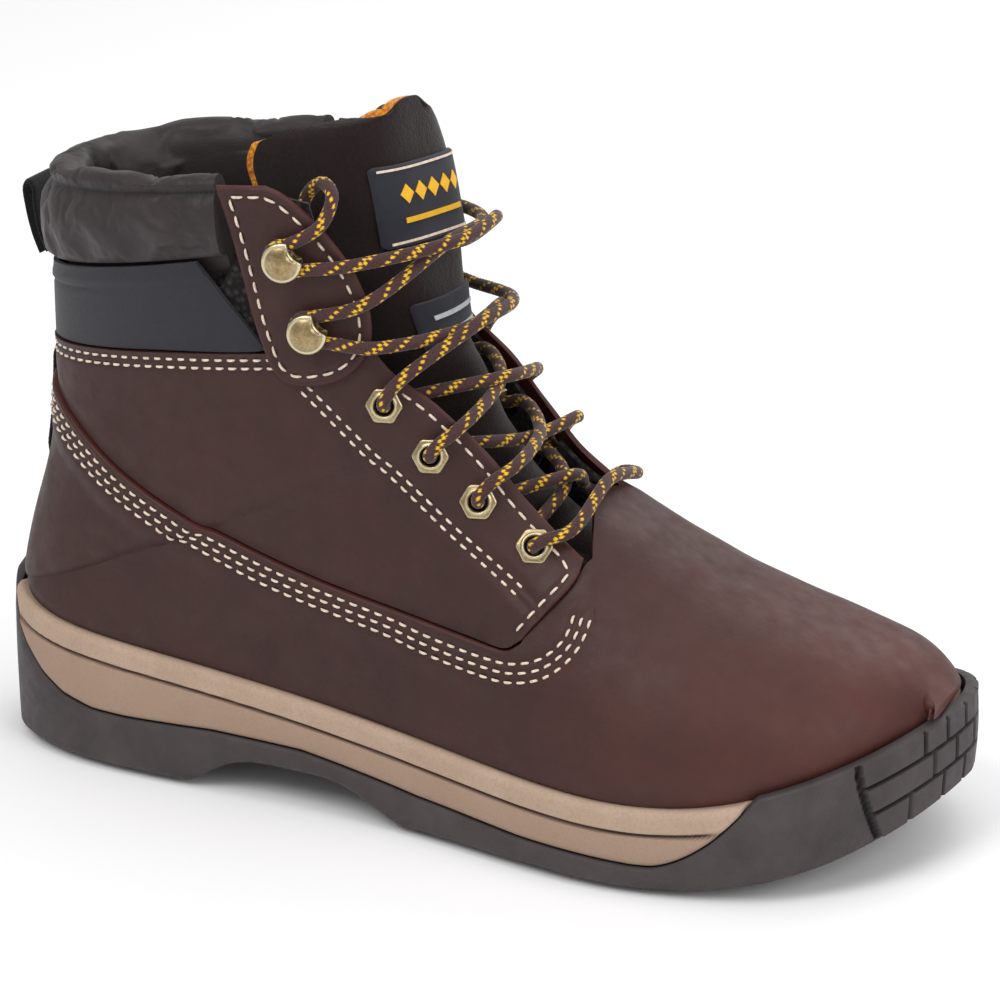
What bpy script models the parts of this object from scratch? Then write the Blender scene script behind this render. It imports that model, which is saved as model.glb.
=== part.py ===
"""Steel toe work boot, right foot. +X is the toe, -Y the outer (lateral) side, +Z up, metres.

The upper is one smooth boot form made of ribs. Every leather, lining and steel piece of the
upper is a skin laid at its own depth on that form, cut along its own seam lines.
"""
import math

import bmesh
import bpy
import numpy as np
from mathutils import Matrix, Vector

for old in list(bpy.data.objects):
    bpy.data.objects.remove(old, do_unlink=True)

MM = 0.001

# ---- driving dimensions, millimetres -------------------------------------------------
LENGTH_SCALE = 1.0          # stretches the whole boot along X
WIDTH_SCALE = 1.0           # stretches the whole boot along Y
HEIGHT_SCALE = 1.0          # stretches the whole boot along Z
GAP = 0.35                  # clearance between neighbouring pieces
LEATHER = 1.8               # upper leather
VAMP_LIFT = 1.1             # the vamp stands this much proud of the quarters
LINING = 1.4
DEPTH_LINING = 1.1          # the lining lies this far inside the form
DEPTH_COUNTER = 1.1
CAP_STEEL = 1.8
COUNTER = 1.1
TONGUE_FACE = 1.3
TONGUE_FOAM = 4.2
TONGUE_BACK = 1.0
LACE_D = 3.8
EYELET_HOLE_R = 2.75
EYELET_OUT_R = 5.4
HOOK_R = 5.8
RIVET_R = 3.4               # tail plate of a hook behind the leather
WEB_W = 14.0
WEB_T = 1.2
LUG_DEPTH = 4.0
LUG_GROOVE = 3.6            # width of a tread groove
TONGUE_TOP = 5.6            # suede face of the tongue below the form at the ridge
TONGUE_SINK = 4.2           # further down where the laces pass under the facings
TONGUE_TWIST = 0.30         # the top of the tongue is turned to the outer side
TONGUE_FLAT = 0.5           # and flatter across than lower down
LABEL_T = 1.0
TAG_T = 0.8
TONGUE_HINGE = (55.0, 0.0, 80.0)
LOOP_HINGE = (-141.6, 0.0, 150.5)
CENTRE = (-2.75, -1.41)      # middle of the bounding box, before it is brought over the origin

# rib: start x, start y outer side, start y inner side, start z, ridge x, ridge z,
#      half width outer, half width inner
RIBS = (
    (-134.0, 0.0, 0.0, 182.0, -15.0, 196.0, 38.0, 38.0),
    (-134.5, 0.0, 0.0, 160.0, -12.0, 183.0, 37.5, 37.5),
    (-135.0, 0.0, 0.0, 138.0, -8.0, 170.0, 37.0, 37.0),
    (-135.5, 0.0, 0.0, 115.0, -3.0, 157.0, 36.5, 36.5),
    (-138.5, 0.0, 0.0, 90.0, 2.0, 146.0, 37.0, 36.0),
    (-143.5, 0.0, 0.0, 70.0, 6.0, 138.0, 37.5, 36.0),
    (-147.5, 0.0, 0.0, 51.0, 10.0, 130.0, 38.0, 36.0),
    (-144.0, -17.0, 17.0, 49.0, 13.0, 124.0, 38.0, 36.0),
    (-133.0, -29.5, 28.0, 46.5, 16.0, 118.0, 38.5, 36.0),
    (-112.0, -36.5, 34.0, 44.0, 20.0, 112.0, 39.0, 36.0),
    (-80.0, -38.5, 36.0, 41.0, 26.0, 105.0, 39.5, 36.0),
    (-40.0, -39.0, 36.0, 36.0, 35.0, 98.0, 40.0, 37.5),
    (0.0, -43.0, 40.0, 31.0, 47.0, 91.0, 44.0, 42.0),
    (35.0, -50.0, 47.0, 28.0, 62.0, 83.0, 50.5, 48.0),
    (65.0, -53.0, 49.5, 27.0, 79.0, 74.5, 53.5, 50.5),
    (93.0, -47.5, 50.0, 29.5, 97.0, 67.5, 48.5, 50.5),
    (116.0, -34.5, 45.0, 36.0, 114.0, 61.5, 36.5, 46.0),
    (131.5, -16.5, 35.0, 42.0, 127.5, 56.5, 19.5, 36.0),
    (139.5, 0.5, 23.0, 45.5, 136.0, 51.5, 2.5, 24.0),
    (142.0, 12.0, 12.0, 47.0, 141.5, 48.5, 12.0, 12.0),
)
RIDGE_Y = (0,) * 13 + (1, 3, 5, 8, 11, 12, 12)
HEEL_RIB = 6
SHOULDER = (0.40,) * 9 + (0.42, 0.45, 0.50, 0.62, 0.74, 0.82, 0.84, 0.82, 0.76, 0.70, 0.66)
HEEL_ROUND = (0.80, 0.80, 0.79, 0.76, 0.70, 0.62, 0.55) + (0.55,) * 13
NR = len(RIBS) - 1
U_HEEL = HEEL_RIB / NR

# seam lines in side view, x and z on the form
SEAM = ((-136, 117), (-123, 109), (-99, 95), (-59, 79), (-10, 67), (22, 61.5), (30, 64))
TAB = ((30, 64), (36, 72), (42, 80), (43.5, 85))
FACING = ((-22, 143), (-15.5, 136), (-3, 127.5), (10, 115), (23, 101), (37, 89.5), (43.5, 85))
BAND_LOW = ((-135, 129), (-120, 131), (-86, 136), (-55, 139.5), (-22, 143))
BAND_TOP = ((-134.8, 151.5), (-121, 153.8), (-88, 159.5), (-66, 163.0))
FLAP_BACK = ((-65, 189.5), (-61, 177), (-57, 161), (-52.5, 143.5), (-46, 131.5))
FLAP_FRONT = ((-51, 190.0), (-39, 182), (-28, 167), (-22, 151), (-24, 137))
EYELETS = ((-17, 127), (-3.5, 113), (11, 100.5), (28.5, 89))
HOOKS = ((-45, 170), (-38, 149))


def spline(xk, yk, x):
    """Natural cubic spline through the knots."""
    xk = np.asarray(xk, float)
    yk = np.asarray(yk, float)
    n = len(xk)
    h = np.diff(xk)
    a = np.zeros((n, n))
    r = np.zeros(n)
    a[0, 0] = 1.0
    a[-1, -1] = 1.0
    for i in range(1, n - 1):
        a[i, i - 1] = h[i - 1]
        a[i, i] = 2 * (h[i - 1] + h[i])
        a[i, i + 1] = h[i]
        r[i] = 3 * ((yk[i + 1] - yk[i]) / h[i] - (yk[i] - yk[i - 1]) / h[i - 1])
    c = np.linalg.solve(a, r)
    b = np.diff(yk) / h - h * (2 * c[:-1] + c[1:]) / 3
    d = np.diff(c) / (3 * h)
    x = np.asarray(x, float)
    i = np.clip(np.searchsorted(xk, x) - 1, 0, n - 2)
    t = x - xk[i]
    return yk[i] + b[i] * t + c[i] * t * t + d[i] * t ** 3


KNOTS = np.arange(NR + 1) / NR
RIB = np.array(RIBS, float)


def chord(u):
    """Start and ridge end of the rib at u, in side view."""
    u = np.asarray(u, float)
    out = []
    for col in (0, 3, 4, 5):
        at0 = spline(KNOTS, RIB[:, col], np.maximum(u, 0.0))
        slope = (RIB[0, col] - RIB[1, col]) * NR
        out.append(at0 + slope * np.maximum(-u, 0.0))
    return out


def section(u, s, side):
    """Share of the chord and of the half width at s along rib u."""
    uc = np.clip(np.asarray(u, float), 0.0, 1.0)
    yb = spline(KNOTS, RIB[:, 1 if side < 0 else 2], uc)
    half = spline(KNOTS, RIB[:, 6 if side < 0 else 7], uc)
    yt = spline(KNOTS, np.array(RIDGE_Y, float), uc)
    yb = np.where(uc < U_HEEL, 0.0, yb)
    width = np.maximum((half * side - yt) * side, 1e-6)
    beta = np.clip((yb - yt) * side / width, 0, 1)
    beta = np.where(uc > 0.9999, 0.0, beta)
    round_c = (1 - np.cos(np.pi * s)) / 2
    round_y = np.clip(np.sin(np.pi * s), 0, 1) ** spline(KNOTS, HEEL_ROUND, uc)
    open_c = np.sin(np.pi / 2 * s)
    open_y = np.clip(np.cos(np.pi / 2 * s), 0, 1) ** spline(KNOTS, SHOULDER, uc)
    return ((1 - beta) * round_c + beta * open_c,
            (1 - beta) * round_y + beta * open_y, width, yt)


def form(u, s, side):
    """Point of the boot form; side -1 is the outer side, +1 the inner side."""
    u = np.asarray(u, float)
    s = np.asarray(s, float)
    xb, zb, xt, zt = chord(u)
    c, y, width, yt = section(u, s, side)
    width = np.where(u > 0.9999, 0.0, width)
    p = np.stack([xb + (xt - xb) * c, yt + side * width * y, zb + (zt - zb) * c], -1)
    return p


def normal(u, s, side):
    """Outward unit normal of the form."""
    h = 1e-3
    u = np.asarray(u, float)
    s = np.clip(np.asarray(s, float), 0.004, 0.996)
    uu = np.minimum(u, 0.994)
    a = form(uu + h, s, side) - form(uu - h, s, side)
    b = form(uu, s + h, side) - form(uu, s - h, side)
    n = np.cross(a, b) * -side
    return n / np.maximum(np.linalg.norm(n, axis=-1, keepdims=True), 1e-9)


S_TAB = np.linspace(0, 1, 201)
U_TAB = np.linspace(-0.06, 1, 531)


def place(x, z, side):
    """Rib place (u, s) of a point given in side view."""
    xb, zb, xt, zt = chord(U_TAB)
    dx = xt - xb
    dz = zt - zb
    length = np.hypot(dx, dz)
    off = ((x - xb) * dz - (z - zb) * dx) / length
    share = ((x - xb) * dx + (z - zb) * dz) / length ** 2
    ok = (share > -0.03) & (share < 1.03)
    cost = np.where(ok, np.abs(off), 1e9)
    k = int(np.argmin(cost))
    j = k
    for m in (k - 1, k + 1):
        if 0 <= m < len(U_TAB) and ok[m] and off[m] * off[k] < 0:
            j = m
    w = 0.0 if j == k else off[k] / (off[k] - off[j])
    u = U_TAB[k] + (U_TAB[j] - U_TAB[k]) * w
    c = share[k] + (share[j] - share[k]) * w
    cs = section(np.full(201, u), S_TAB, side)[0]
    return u, float(np.interp(c, cs, S_TAB))


def path_us(points, side, n, bias=1.0):
    """Run of (u, s) through side-view points; bias over 1 crowds points at the start."""
    xz = np.array(points, float)
    t = np.concatenate([[0], np.cumsum(np.hypot(*np.diff(xz, axis=0).T))])
    q = t[-1] * np.linspace(0, 1, n) ** bias
    xs = np.interp(q, t, xz[:, 0])
    zs = np.interp(q, t, xz[:, 1])
    return np.array([place(x, z, side) for x, z in zip(xs, zs)])


# ---- mesh helpers ---------------------------------------------------------------------
def material(name, color, rough, metal=0.0):
    mat = bpy.data.materials.new(name)
    mat.use_nodes = True
    node = mat.node_tree.nodes["Principled BSDF"]
    node.inputs["Base Color"].default_value = (*color, 1.0)
    node.inputs["Roughness"].default_value = rough
    node.inputs["Metallic"].default_value = metal
    return mat


def add(name, verts, faces, mat, origin=(0, 0, 0)):
    v = np.asarray(verts, float) * (LENGTH_SCALE, WIDTH_SCALE, HEIGHT_SCALE) * MM
    o = np.asarray(origin, float) * (LENGTH_SCALE, WIDTH_SCALE, HEIGHT_SCALE) * MM
    mesh = bpy.data.meshes.new(name)
    mesh.from_pydata([tuple(p) for p in v - o], [], faces)
    bm = bmesh.new()
    bm.from_mesh(mesh)
    bmesh.ops.remove_doubles(bm, verts=bm.verts, dist=1e-6)
    bmesh.ops.dissolve_degenerate(bm, edges=bm.edges, dist=1e-6)
    bmesh.ops.triangulate(bm, faces=bm.faces)
    bmesh.ops.recalc_face_normals(bm, faces=bm.faces)
    if bm.calc_volume(signed=True) < 0:
        bmesh.ops.reverse_faces(bm, faces=bm.faces)
    bm.to_mesh(mesh)
    bm.free()
    mesh.update()
    obj = bpy.data.objects.new(name, mesh)
    obj.location = tuple(o)
    bpy.context.scene.collection.objects.link(obj)
    mesh.materials.append(mat)
    return obj


def thicken(verts, faces, normals, lo, hi):
    """Solid skin between two depths over an open sheet."""
    verts = np.asarray(verts, float)
    lo = np.broadcast_to(np.asarray(lo, float), len(verts))[:, None]
    hi = np.broadcast_to(np.asarray(hi, float), len(verts))[:, None]
    n = len(verts)
    both = np.concatenate([verts + normals * hi, verts + normals * lo])
    out = [tuple(f) for f in faces] + [tuple(i + n for i in reversed(f)) for f in faces]
    count = {}
    for f in faces:
        for a, b in zip(f, f[1:] + f[:1]):
            key = (min(a, b), max(a, b))
            count.setdefault(key, []).append((a, b))
    for uses in count.values():
        if len(uses) == 1:
            a, b = uses[0]
            out.append((b, a, a + n, b + n))
    return both, out


def ruled(low, high, nt, lo_off, hi_off, side):
    """Sheet between two (u, s) curves; returns points, normals, grid of depths."""
    t = np.linspace(0, 1, nt)
    us = low[None] * (1 - t)[:, None, None] + high[None] * t[:, None, None]
    p = form(us[..., 0], us[..., 1], side)
    nrm = normal(us[..., 0], us[..., 1], side)
    lo = np.broadcast_to(np.asarray(lo_off, float), p.shape[:2])
    hi = np.broadcast_to(np.asarray(hi_off, float), p.shape[:2])
    return p, nrm, lo, hi


def side_view(us, side):
    p = form(us[..., 0], us[..., 1], side)
    return np.stack([p[..., 0], p[..., 2]], -1)


def side_ruled(low, high, nt, side, over=None):
    """(u, s) grid between two curves, straight in side view; over blends to straight in (u, s)."""
    t = np.linspace(0, 1, nt)[:, None, None]
    a = side_view(low, side)[None]
    b = side_view(high, side)[None]
    xz = a * (1 - t) + b * t
    us = np.array([[place(x, z, side) for x, z in row] for row in xz])
    us[0] = low
    us[-1] = high
    flat = low[None] * (1 - t) + high[None] * t
    if over is not None:
        w = np.asarray(over)[None, :, None]
        us = us * (1 - w) + flat * w
    return us


def sheet_of(us, side):
    return form(us[..., 0], us[..., 1], side), normal(us[..., 0], us[..., 1], side)


def grid_faces(rows, cols, base=0, flip=False):
    out = []
    for r in range(rows - 1):
        for c in range(cols - 1):
            a = base + r * cols + c
            f = (a, a + 1, a + cols + 1, a + cols)
            out.append(f[::-1] if flip else f)
    return out


def welded(sheets):
    """Joins side sheets into one open sheet, welding points that coincide."""
    verts, norms, los, his, faces, seen = [], [], [], [], [], {}
    for p, nrm, lo, hi, flip in sheets:
        rows, cols = p.shape[:2]
        flat = p.reshape(-1, 3)
        idx = []
        for i, v in enumerate(flat):
            key = tuple(np.round(v, 2))
            if key in seen:
                k = seen[key]
                norms[k] = norms[k] + nrm.reshape(-1, 3)[i]
            else:
                k = len(verts)
                seen[key] = k
                verts.append(v)
                norms.append(nrm.reshape(-1, 3)[i].copy())
                los.append(lo.reshape(-1)[i])
                his.append(hi.reshape(-1)[i])
            idx.append(k)
        for f in grid_faces(rows, cols, 0, flip):
            g = tuple(dict.fromkeys(idx[k] for k in f))
            if len(g) > 2:
                faces.append(g)
    norms = np.array(norms)
    norms /= np.maximum(np.linalg.norm(norms, axis=1, keepdims=True), 1e-9)
    return np.array(verts), faces, norms, np.array(los), np.array(his)


def close_tip(sheets):
    """Brings the toe ends of an outer and an inner side sheet together in a blunt nose."""
    a, b = sheets[0], sheets[1]
    nose = (a[0][:, -1] + b[0][:, -1]) / 2
    nose[:, 0] += 1.2
    for sh in (a, b):
        sh[0][:, -1] = nose
        sh[1][:, -1] = (0.95, 0.0, 0.31)
    return sheets


def skin(name, sheets, mat):
    verts, faces, norms, lo, hi = welded(sheets)
    v, f = thicken(verts, faces, norms, lo, hi)
    return add(name, v, f, mat)


def curve_us(points, n, bias=1.0):
    """Run through (u, s) points; bias over 1 crowds points at the start."""
    p = np.array(points, float)
    t = np.concatenate([[0], np.cumsum(np.hypot(*np.diff(p, axis=0).T))])
    q = t[-1] * np.linspace(0, 1, n) ** bias
    return np.stack([np.interp(q, t, p[:, 0]), np.interp(q, t, p[:, 1])], -1)


def outward(mesh):
    """Turns a closed mesh to face outwards."""
    bm = bmesh.new()
    bm.from_mesh(mesh)
    bmesh.ops.recalc_face_normals(bm, faces=bm.faces)
    if bm.calc_volume(signed=True) < 0:
        bmesh.ops.reverse_faces(bm, faces=bm.faces)
    bm.to_mesh(mesh)
    bm.free()


def cut(target, cutters):
    """Subtracts cutter objects from a piece and removes them."""
    for c in cutters:
        c.hide_render = True
        c.display_type = "WIRE"
        mod = target.modifiers.new("cut", "BOOLEAN")
        mod.operation = "DIFFERENCE"
        mod.solver = "EXACT"
        mod.object = c
    dg = bpy.context.evaluated_depsgraph_get()
    mesh = bpy.data.meshes.new_from_object(target.evaluated_get(dg))
    target.modifiers.clear()
    old = target.data
    outward(mesh)
    target.data = mesh
    bpy.data.meshes.remove(old)
    for c in cutters:
        bpy.data.objects.remove(c, do_unlink=True)


def frame_at(x, z, side):
    """Point and outward normal of the form at a side-view place, unscaled millimetres."""
    u, s = place(x, z, side)
    return form(u, s, side), normal(u, s, side)


def basis(n):
    n = Vector(n).normalized()
    a = n.cross(Vector((0, 0, 1))).normalized()
    return a, n.cross(a).normalized(), n


def lathe(profile, centre, n, sides, bite=None):
    """Closed ring-shaped turned solid: profile of (radius, depth) round a normal."""
    a, b, n = basis(n)
    verts = []
    for r, d in profile:
        for k in range(sides):
            ang = 2 * math.pi * k / sides
            rr = bite(r, ang) if bite else r
            p = Vector(centre) + a * rr * math.cos(ang) + b * rr * math.sin(ang) + n * d
            verts.append(tuple(p))
    faces = []
    m = len(profile)
    for i in range(m):
        j = (i + 1) % m
        for k in range(sides):
            k2 = (k + 1) % sides
            faces.append((i * sides + k, i * sides + k2, j * sides + k2, j * sides + k))
    return verts, faces


def solid_lathe(profile, centre, n, sides, bite=None):
    """Turned solid with closed ends."""
    verts, faces = lathe(profile, centre, n, sides, bite)
    m = len(profile)
    faces = faces[: (m - 1) * sides]
    faces.append(tuple(range(sides))[::-1])
    faces.append(tuple((m - 1) * sides + k for k in range(sides)))
    return verts, faces


# ---- materials ------------------------------------------------------------------------
M_LEATHER = material("oiled_leather", (0.075, 0.036, 0.030), 0.55)
M_RUBBER = material("outsole_rubber", (0.050, 0.040, 0.041), 0.7)
M_TAN = material("tan_foam", (0.44, 0.31, 0.23), 0.65)
M_COLLAR = material("collar_fabric", (0.055, 0.045, 0.043), 0.6)
M_BAND = material("black_band", (0.010, 0.010, 0.014), 0.6)
M_BRASS = material("antique_brass", (0.36, 0.27, 0.15), 0.35, 1.0)
M_STEEL = material("toe_steel", (0.42, 0.43, 0.45), 0.35, 1.0)
M_WEB = material("black_webbing", (0.015, 0.015, 0.016), 0.85)
M_SUEDE = material("tongue_suede", (0.035, 0.019, 0.017), 0.95)
M_ORANGE = material("tongue_lining", (0.75, 0.27, 0.03), 0.95)
M_FOAM = material("foam", (0.55, 0.52, 0.40), 0.9)
M_LINING = material("mesh_lining", (0.045, 0.040, 0.038), 0.95)
M_BOARD = material("fibre_board", (0.42, 0.33, 0.22), 0.9)
M_LACE = material("braided_lace", (0.060, 0.018, 0.016), 0.8)
M_LABEL = material("label_fabric", (0.020, 0.020, 0.026), 0.7)
M_TIP = material("lace_tip", (0.08, 0.03, 0.02), 0.3)

# ---- sole -----------------------------------------------------------------------------
NS = 26                                     # stations from heel to toe tip
U_SOLE = np.linspace(U_HEEL, 1, NS)


def feather(side):
    u = U_SOLE
    p = np.stack([spline(KNOTS, RIB[:, 0], u),
                  spline(KNOTS, RIB[:, 1 if side < 0 else 2], u),
                  spline(KNOTS, RIB[:, 3], u)], -1)
    p[0, 1] = 0.0
    return p


def outline():
    """Closed feather line: heel, outer side, toe, inner side; with plan normals."""
    a = feather(-1)
    b = feather(1)
    ring = np.concatenate([a, b[-2:0:-1]])
    d = np.roll(ring, -1, 0) - np.roll(ring, 1, 0)
    n = np.stack([-d[:, 1], d[:, 0]], -1) * -1.0
    n /= np.linalg.norm(n, axis=1, keepdims=True)
    area = np.sum(ring[:, 0] * np.roll(ring[:, 1], -1) - ring[:, 1] * np.roll(ring[:, 0], -1))
    if area < 0:
        n = -n
    return ring, n


RING, RING_N = outline()
NRING = len(RING)


def level(off, z):
    """One closed ring offset outwards from the feather line."""
    off = np.broadcast_to(np.asarray(off, float), NRING)[:, None]
    z = np.broadcast_to(np.asarray(z, float), NRING)
    return np.concatenate([RING[:, :2] + RING_N * off, z[:, None]], 1)


def smooth(a, b, x):
    t = np.clip((x - a) / (b - a), 0, 1)
    return t * t * (3 - 2 * t)


RX = RING[:, 0]
FZ = RING[:, 2]
TAN_LOW = np.interp(RX, (-150, -110, -70, -40, 0, 35, 70, 95, 120, 142),
                    (19, 18.5, 20, 19, 13, 10, 9, 10, 15.5, 26))
GROUND = np.interp(RX, (-150, -145, -79, -66, -45, -25, -8, 55, 85, 105, 120, 132, 142),
                   (3.5, 0, 0, 9, 10, 8, 0, 0, 1, 4, 8.5, 14, 20))
TOE_UP = smooth(90, 102, RX)                # 1 where the outsole wraps up the toe
HEEL_UP = smooth(-137, -145, RX)            # 1 where it wraps up the heel


def bridge(ring_index, ring_pts, verts, faces, up, nmid=4):
    """Closes a ring across the boot with a smooth strip grid."""
    n = NS
    rows = []
    for i in range(n):
        a = ring_index + i
        b = ring_index if i == 0 else ring_index + NRING - i
        if i in (0, n - 1):
            rows.append([ring_index + i])
            continue
        row = [a]
        for k in range(1, nmid):
            t = k / nmid
            row.append(len(verts))
            verts.append(ring_pts[i] * (1 - t) + ring_pts[NRING - i] * t)
        row.append(b)
        rows.append(row)
    for i in range(n - 1):
        p, q = rows[i], rows[i + 1]
        if len(p) == 1:
            for k in range(len(q) - 1):
                faces.append((p[0], q[k], q[k + 1]) if up else (p[0], q[k + 1], q[k]))
        elif len(q) == 1:
            for k in range(len(p) - 1):
                faces.append((p[k], q[0], p[k + 1]) if up else (p[k], p[k + 1], q[0]))
        else:
            for k in range(len(p) - 1):
                f = (p[k], q[k], q[k + 1], p[k + 1])
                faces.append(f if up else f[::-1])


def stack(name, levels, mat):
    """Closed body of rings from the underside outwards and up to the inside floor."""
    verts = []
    for lv in levels:
        verts.extend(list(lv))
    faces = []
    for i in range(len(levels) - 1):
        for k in range(NRING):
            k2 = (k + 1) % NRING
            a = i * NRING
            b = (i + 1) * NRING
            faces.append((a + k, a + k2, b + k2, b + k))
    bridge(0, levels[0], verts, faces, False)
    bridge((len(levels) - 1) * NRING, levels[-1], verts, faces, True)
    return add(name, np.array(verts), faces, mat)


FLOOR = FZ - 13.0
WALL_TOP = TAN_LOW * (1 - TOE_UP) * (1 - HEEL_UP) + (FZ + 1.0) * TOE_UP + (FZ + 2.5) * HEEL_UP
OUT_SIDE = 5.0 + 1.2 * np.maximum(TOE_UP, HEEL_UP)
IN_SIDE = OUT_SIDE - 0.6 - 2.2 * np.maximum(TOE_UP, HEEL_UP)
outsole = stack("outsole", [
    level(-4.0, GROUND), level(3.6, GROUND), level(OUT_SIDE + 0.6, GROUND + 4.0),
    level(OUT_SIDE + 0.4, np.maximum(WALL_TOP - 3.0, GROUND + 5.0)),
    level(OUT_SIDE - 0.3, WALL_TOP),
    level(np.minimum(IN_SIDE, OUT_SIDE - 1.0), WALL_TOP),
    level(np.minimum(IN_SIDE, OUT_SIDE - 1.0) - 0.2, TAN_LOW + 0.05),
    level(-6.0, TAN_LOW)], M_RUBBER)

# tread grooves across the underside: place along the boot, degrees turned from straight across
LUGS = ((-132, 0), (-116, 0), (-100, 0), (-86, 0), (4, 8), (20, 8), (36, 6), (52, 4),
        (68, 0), (83, -6), (97, -10), (110, -14))
lugs = []
for k, (x, ang) in enumerate(LUGS):
    bm = bmesh.new()
    bmesh.ops.create_cube(bm, size=1.0)
    zc = float(np.interp(x, (-79, 55, 85, 105, 120), (0, 0, 1, 4, 8.5)))
    for v in bm.verts:
        v.co = Vector((v.co.x * LUG_GROOVE, v.co.y * 170.0, v.co.z * LUG_DEPTH * 2))
    rot = Matrix.Rotation(math.radians(ang), 4, "Z")
    sc = Matrix.Diagonal((LENGTH_SCALE * MM, WIDTH_SCALE * MM, HEIGHT_SCALE * MM, 1))
    bm.transform(sc @ Matrix.Translation((x, 0, zc)) @ rot)
    me = bpy.data.meshes.new("lug_cut")
    bm.to_mesh(me)
    bm.free()
    ob = bpy.data.objects.new("lug_cut_%d" % k, me)
    bpy.context.scene.collection.objects.link(ob)
    lugs.append(ob)
cut(outsole, lugs)

TOE_LOW = 2.5 * smooth(119, 137, RX) + 1.5 * smooth(-140, -146, RX)
WRAPPED = np.maximum(TOE_UP, HEEL_UP) > 0
WRAPPED |= np.roll(WRAPPED, 1) | np.roll(WRAPPED, -1)
TAN_OUT = np.where(WRAPPED, np.minimum(IN_SIDE, OUT_SIDE - 1.0) - 0.7, OUT_SIDE - 0.2)
midsole = stack("midsole", [
    level(-6.0, TAN_LOW + GAP), level(TAN_OUT - 0.5, TAN_LOW + GAP + 0.1),
    level(TAN_OUT, TAN_LOW + 2.0), level(TAN_OUT - 0.3, (TAN_LOW + FZ) * 0.5 + 2.0),
    level(TAN_OUT - 1.0, FZ - 1.5 - TOE_LOW),
    level(np.minimum(TAN_OUT - 1.8, 2.6), FZ - 0.6 - TOE_LOW),
    level(-2.2, FZ - 0.6 - TOE_LOW), level(-3.0, FLOOR + 1.0), level(-8.0, FLOOR)], M_TAN)

stack("insole_board", [
    level(-8.0, FLOOR + GAP), level(-4.2, FLOOR + 1.4),
    level(-4.2, FLOOR + 3.4), level(-8.0, FLOOR + 2.6)], M_BOARD)
stack("footbed", [
    level(-8.5, FLOOR + 3.0), level(-6.2, FLOOR + 4.0), level(-5.6, FLOOR + 9.5),
    level(-7.2, FLOOR + 10.0), level(-13.0, FLOOR + 7.2)], M_FOAM)


# ---- upper ----------------------------------------------------------------------------
def vamp_edge(side, n1, n2, n3):
    """Top edge of the vamp: long seam, facing tab, throat, then down the ridge."""
    seam = path_us(SEAM, side, n1, 1.5)
    seam[0] = (place(*SEAM[0], side)[0], 0.0)
    tab = path_us(TAB + ((46.5, 87.2),), side, n2)
    u_throat = tab[-1, 0]
    end = np.array([[u_throat - 0.012 * k, tab[-1, 1] + (1 - tab[-1, 1]) * k / 4.0] for k in range(1, 5)])
    ridge_u = end[-1, 0] + (1 - end[-1, 0]) * np.linspace(0, 1, n3)
    ridge = np.stack([ridge_u, np.ones(n3)], -1)
    return np.concatenate([seam, tab[1:], end, ridge[1:]])


def vamp_foot(n1, n2, n3, lift=0.0):
    """Bottom edge of the vamp along the feather line, matched to the top edge."""
    m = n2 - 1 + 4
    u = np.concatenate([U_HEEL + (0.700 - U_HEEL) * np.linspace(0, 1, n1) ** 1.25,
                        np.linspace(0.700, 0.775, m + 1)[1:], np.linspace(0.775, 1.0, n3)[1:]])
    return np.stack([u, np.full(len(u), lift)], -1)


N1, N2, N3 = 15, 6, 10
SHEETS = []
for side in (-1, 1):
    top = vamp_edge(side, N1, N2, N3)
    foot = vamp_foot(N1, N2, N3)
    over = np.clip((np.arange(len(top)) - (N1 - 2)) / 5.0, 0, 1)
    p, nrm = sheet_of(side_ruled(foot, top, 7, side, over), side)
    p[:, 0, 1] = side * 0.45
    p[:, -1, 1] = RIDGE_Y[-1]
    lo = np.full(p.shape[:2], GAP)
    hi = np.full(p.shape[:2], GAP + LEATHER)
    hi[-1, :N1] += VAMP_LIFT
    hi[-2, :N1] += VAMP_LIFT * 0.6
    SHEETS.append((p, nrm, lo, hi, side > 0))
skin("vamp", SHEETS, M_LEATHER)


def inset(points, d):
    """Moves a side-view line by d millimetres to its left."""
    p = np.array(points, float)
    t = np.gradient(p, axis=0)
    t /= np.linalg.norm(t, axis=1, keepdims=True)
    return tuple(map(tuple, p + np.stack([-t[:, 1], t[:, 0]], -1) * d))


def quarter(side):
    low = path_us(inset(SEAM, 0.9), side, 15, 1.5)
    low[0, 1] = 0.0
    low[0, 0] = place(*SEAM[0], side)[0] - 0.004
    tab = path_us(inset(TAB, 0.7), side, 6)
    low = np.concatenate([low, tab[1:-1]])
    n = len(low)
    top = path_us(BAND_LOW, side, 11, 1.6)
    top[0] = (top[0, 0], 0.0)
    fac = path_us(FACING[:-1] + ((42.2, 85.8),), side, n - 10)
    top = np.concatenate([top, fac[1:]])
    p, nrm = sheet_of(side_ruled(low, top, 6, side), side)
    lo = np.full(p.shape[:2], GAP)
    hi = lo + LEATHER
    p[:, 0, 1] = side * 0.45
    return [(p, nrm, lo, hi, side > 0)]


quarters = {}
for side, word in ((-1, "lateral"), (1, "medial")):
    quarters[side] = skin("quarter_" + word, quarter(side), M_LEATHER)

# black band under the collar, one strip round the back
sheets = []
for side in (-1, 1):
    low = path_us([(x, z + 0.7) for x, z in BAND_LOW[:-1]], side, 13, 1.5)
    low[0, 1] = 0.0
    high = path_us(BAND_TOP[:-1] + ((-60.5, 163.6),), side, 13, 1.5)
    high[0, 1] = 0.0
    end = path_us(((-53.0, 140.2), (-54.2, 145), (-58.5, 163.6)), side, 3)
    low[-1] = end[0]
    p, nrm, lo, hi = ruled(low, high, 4, GAP, GAP + 1.5, side)
    p[:, 0, 1] = 0.0
    sheets.append((p, nrm, lo, hi, side > 0))
skin("collar_band", sheets, M_BAND)

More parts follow.
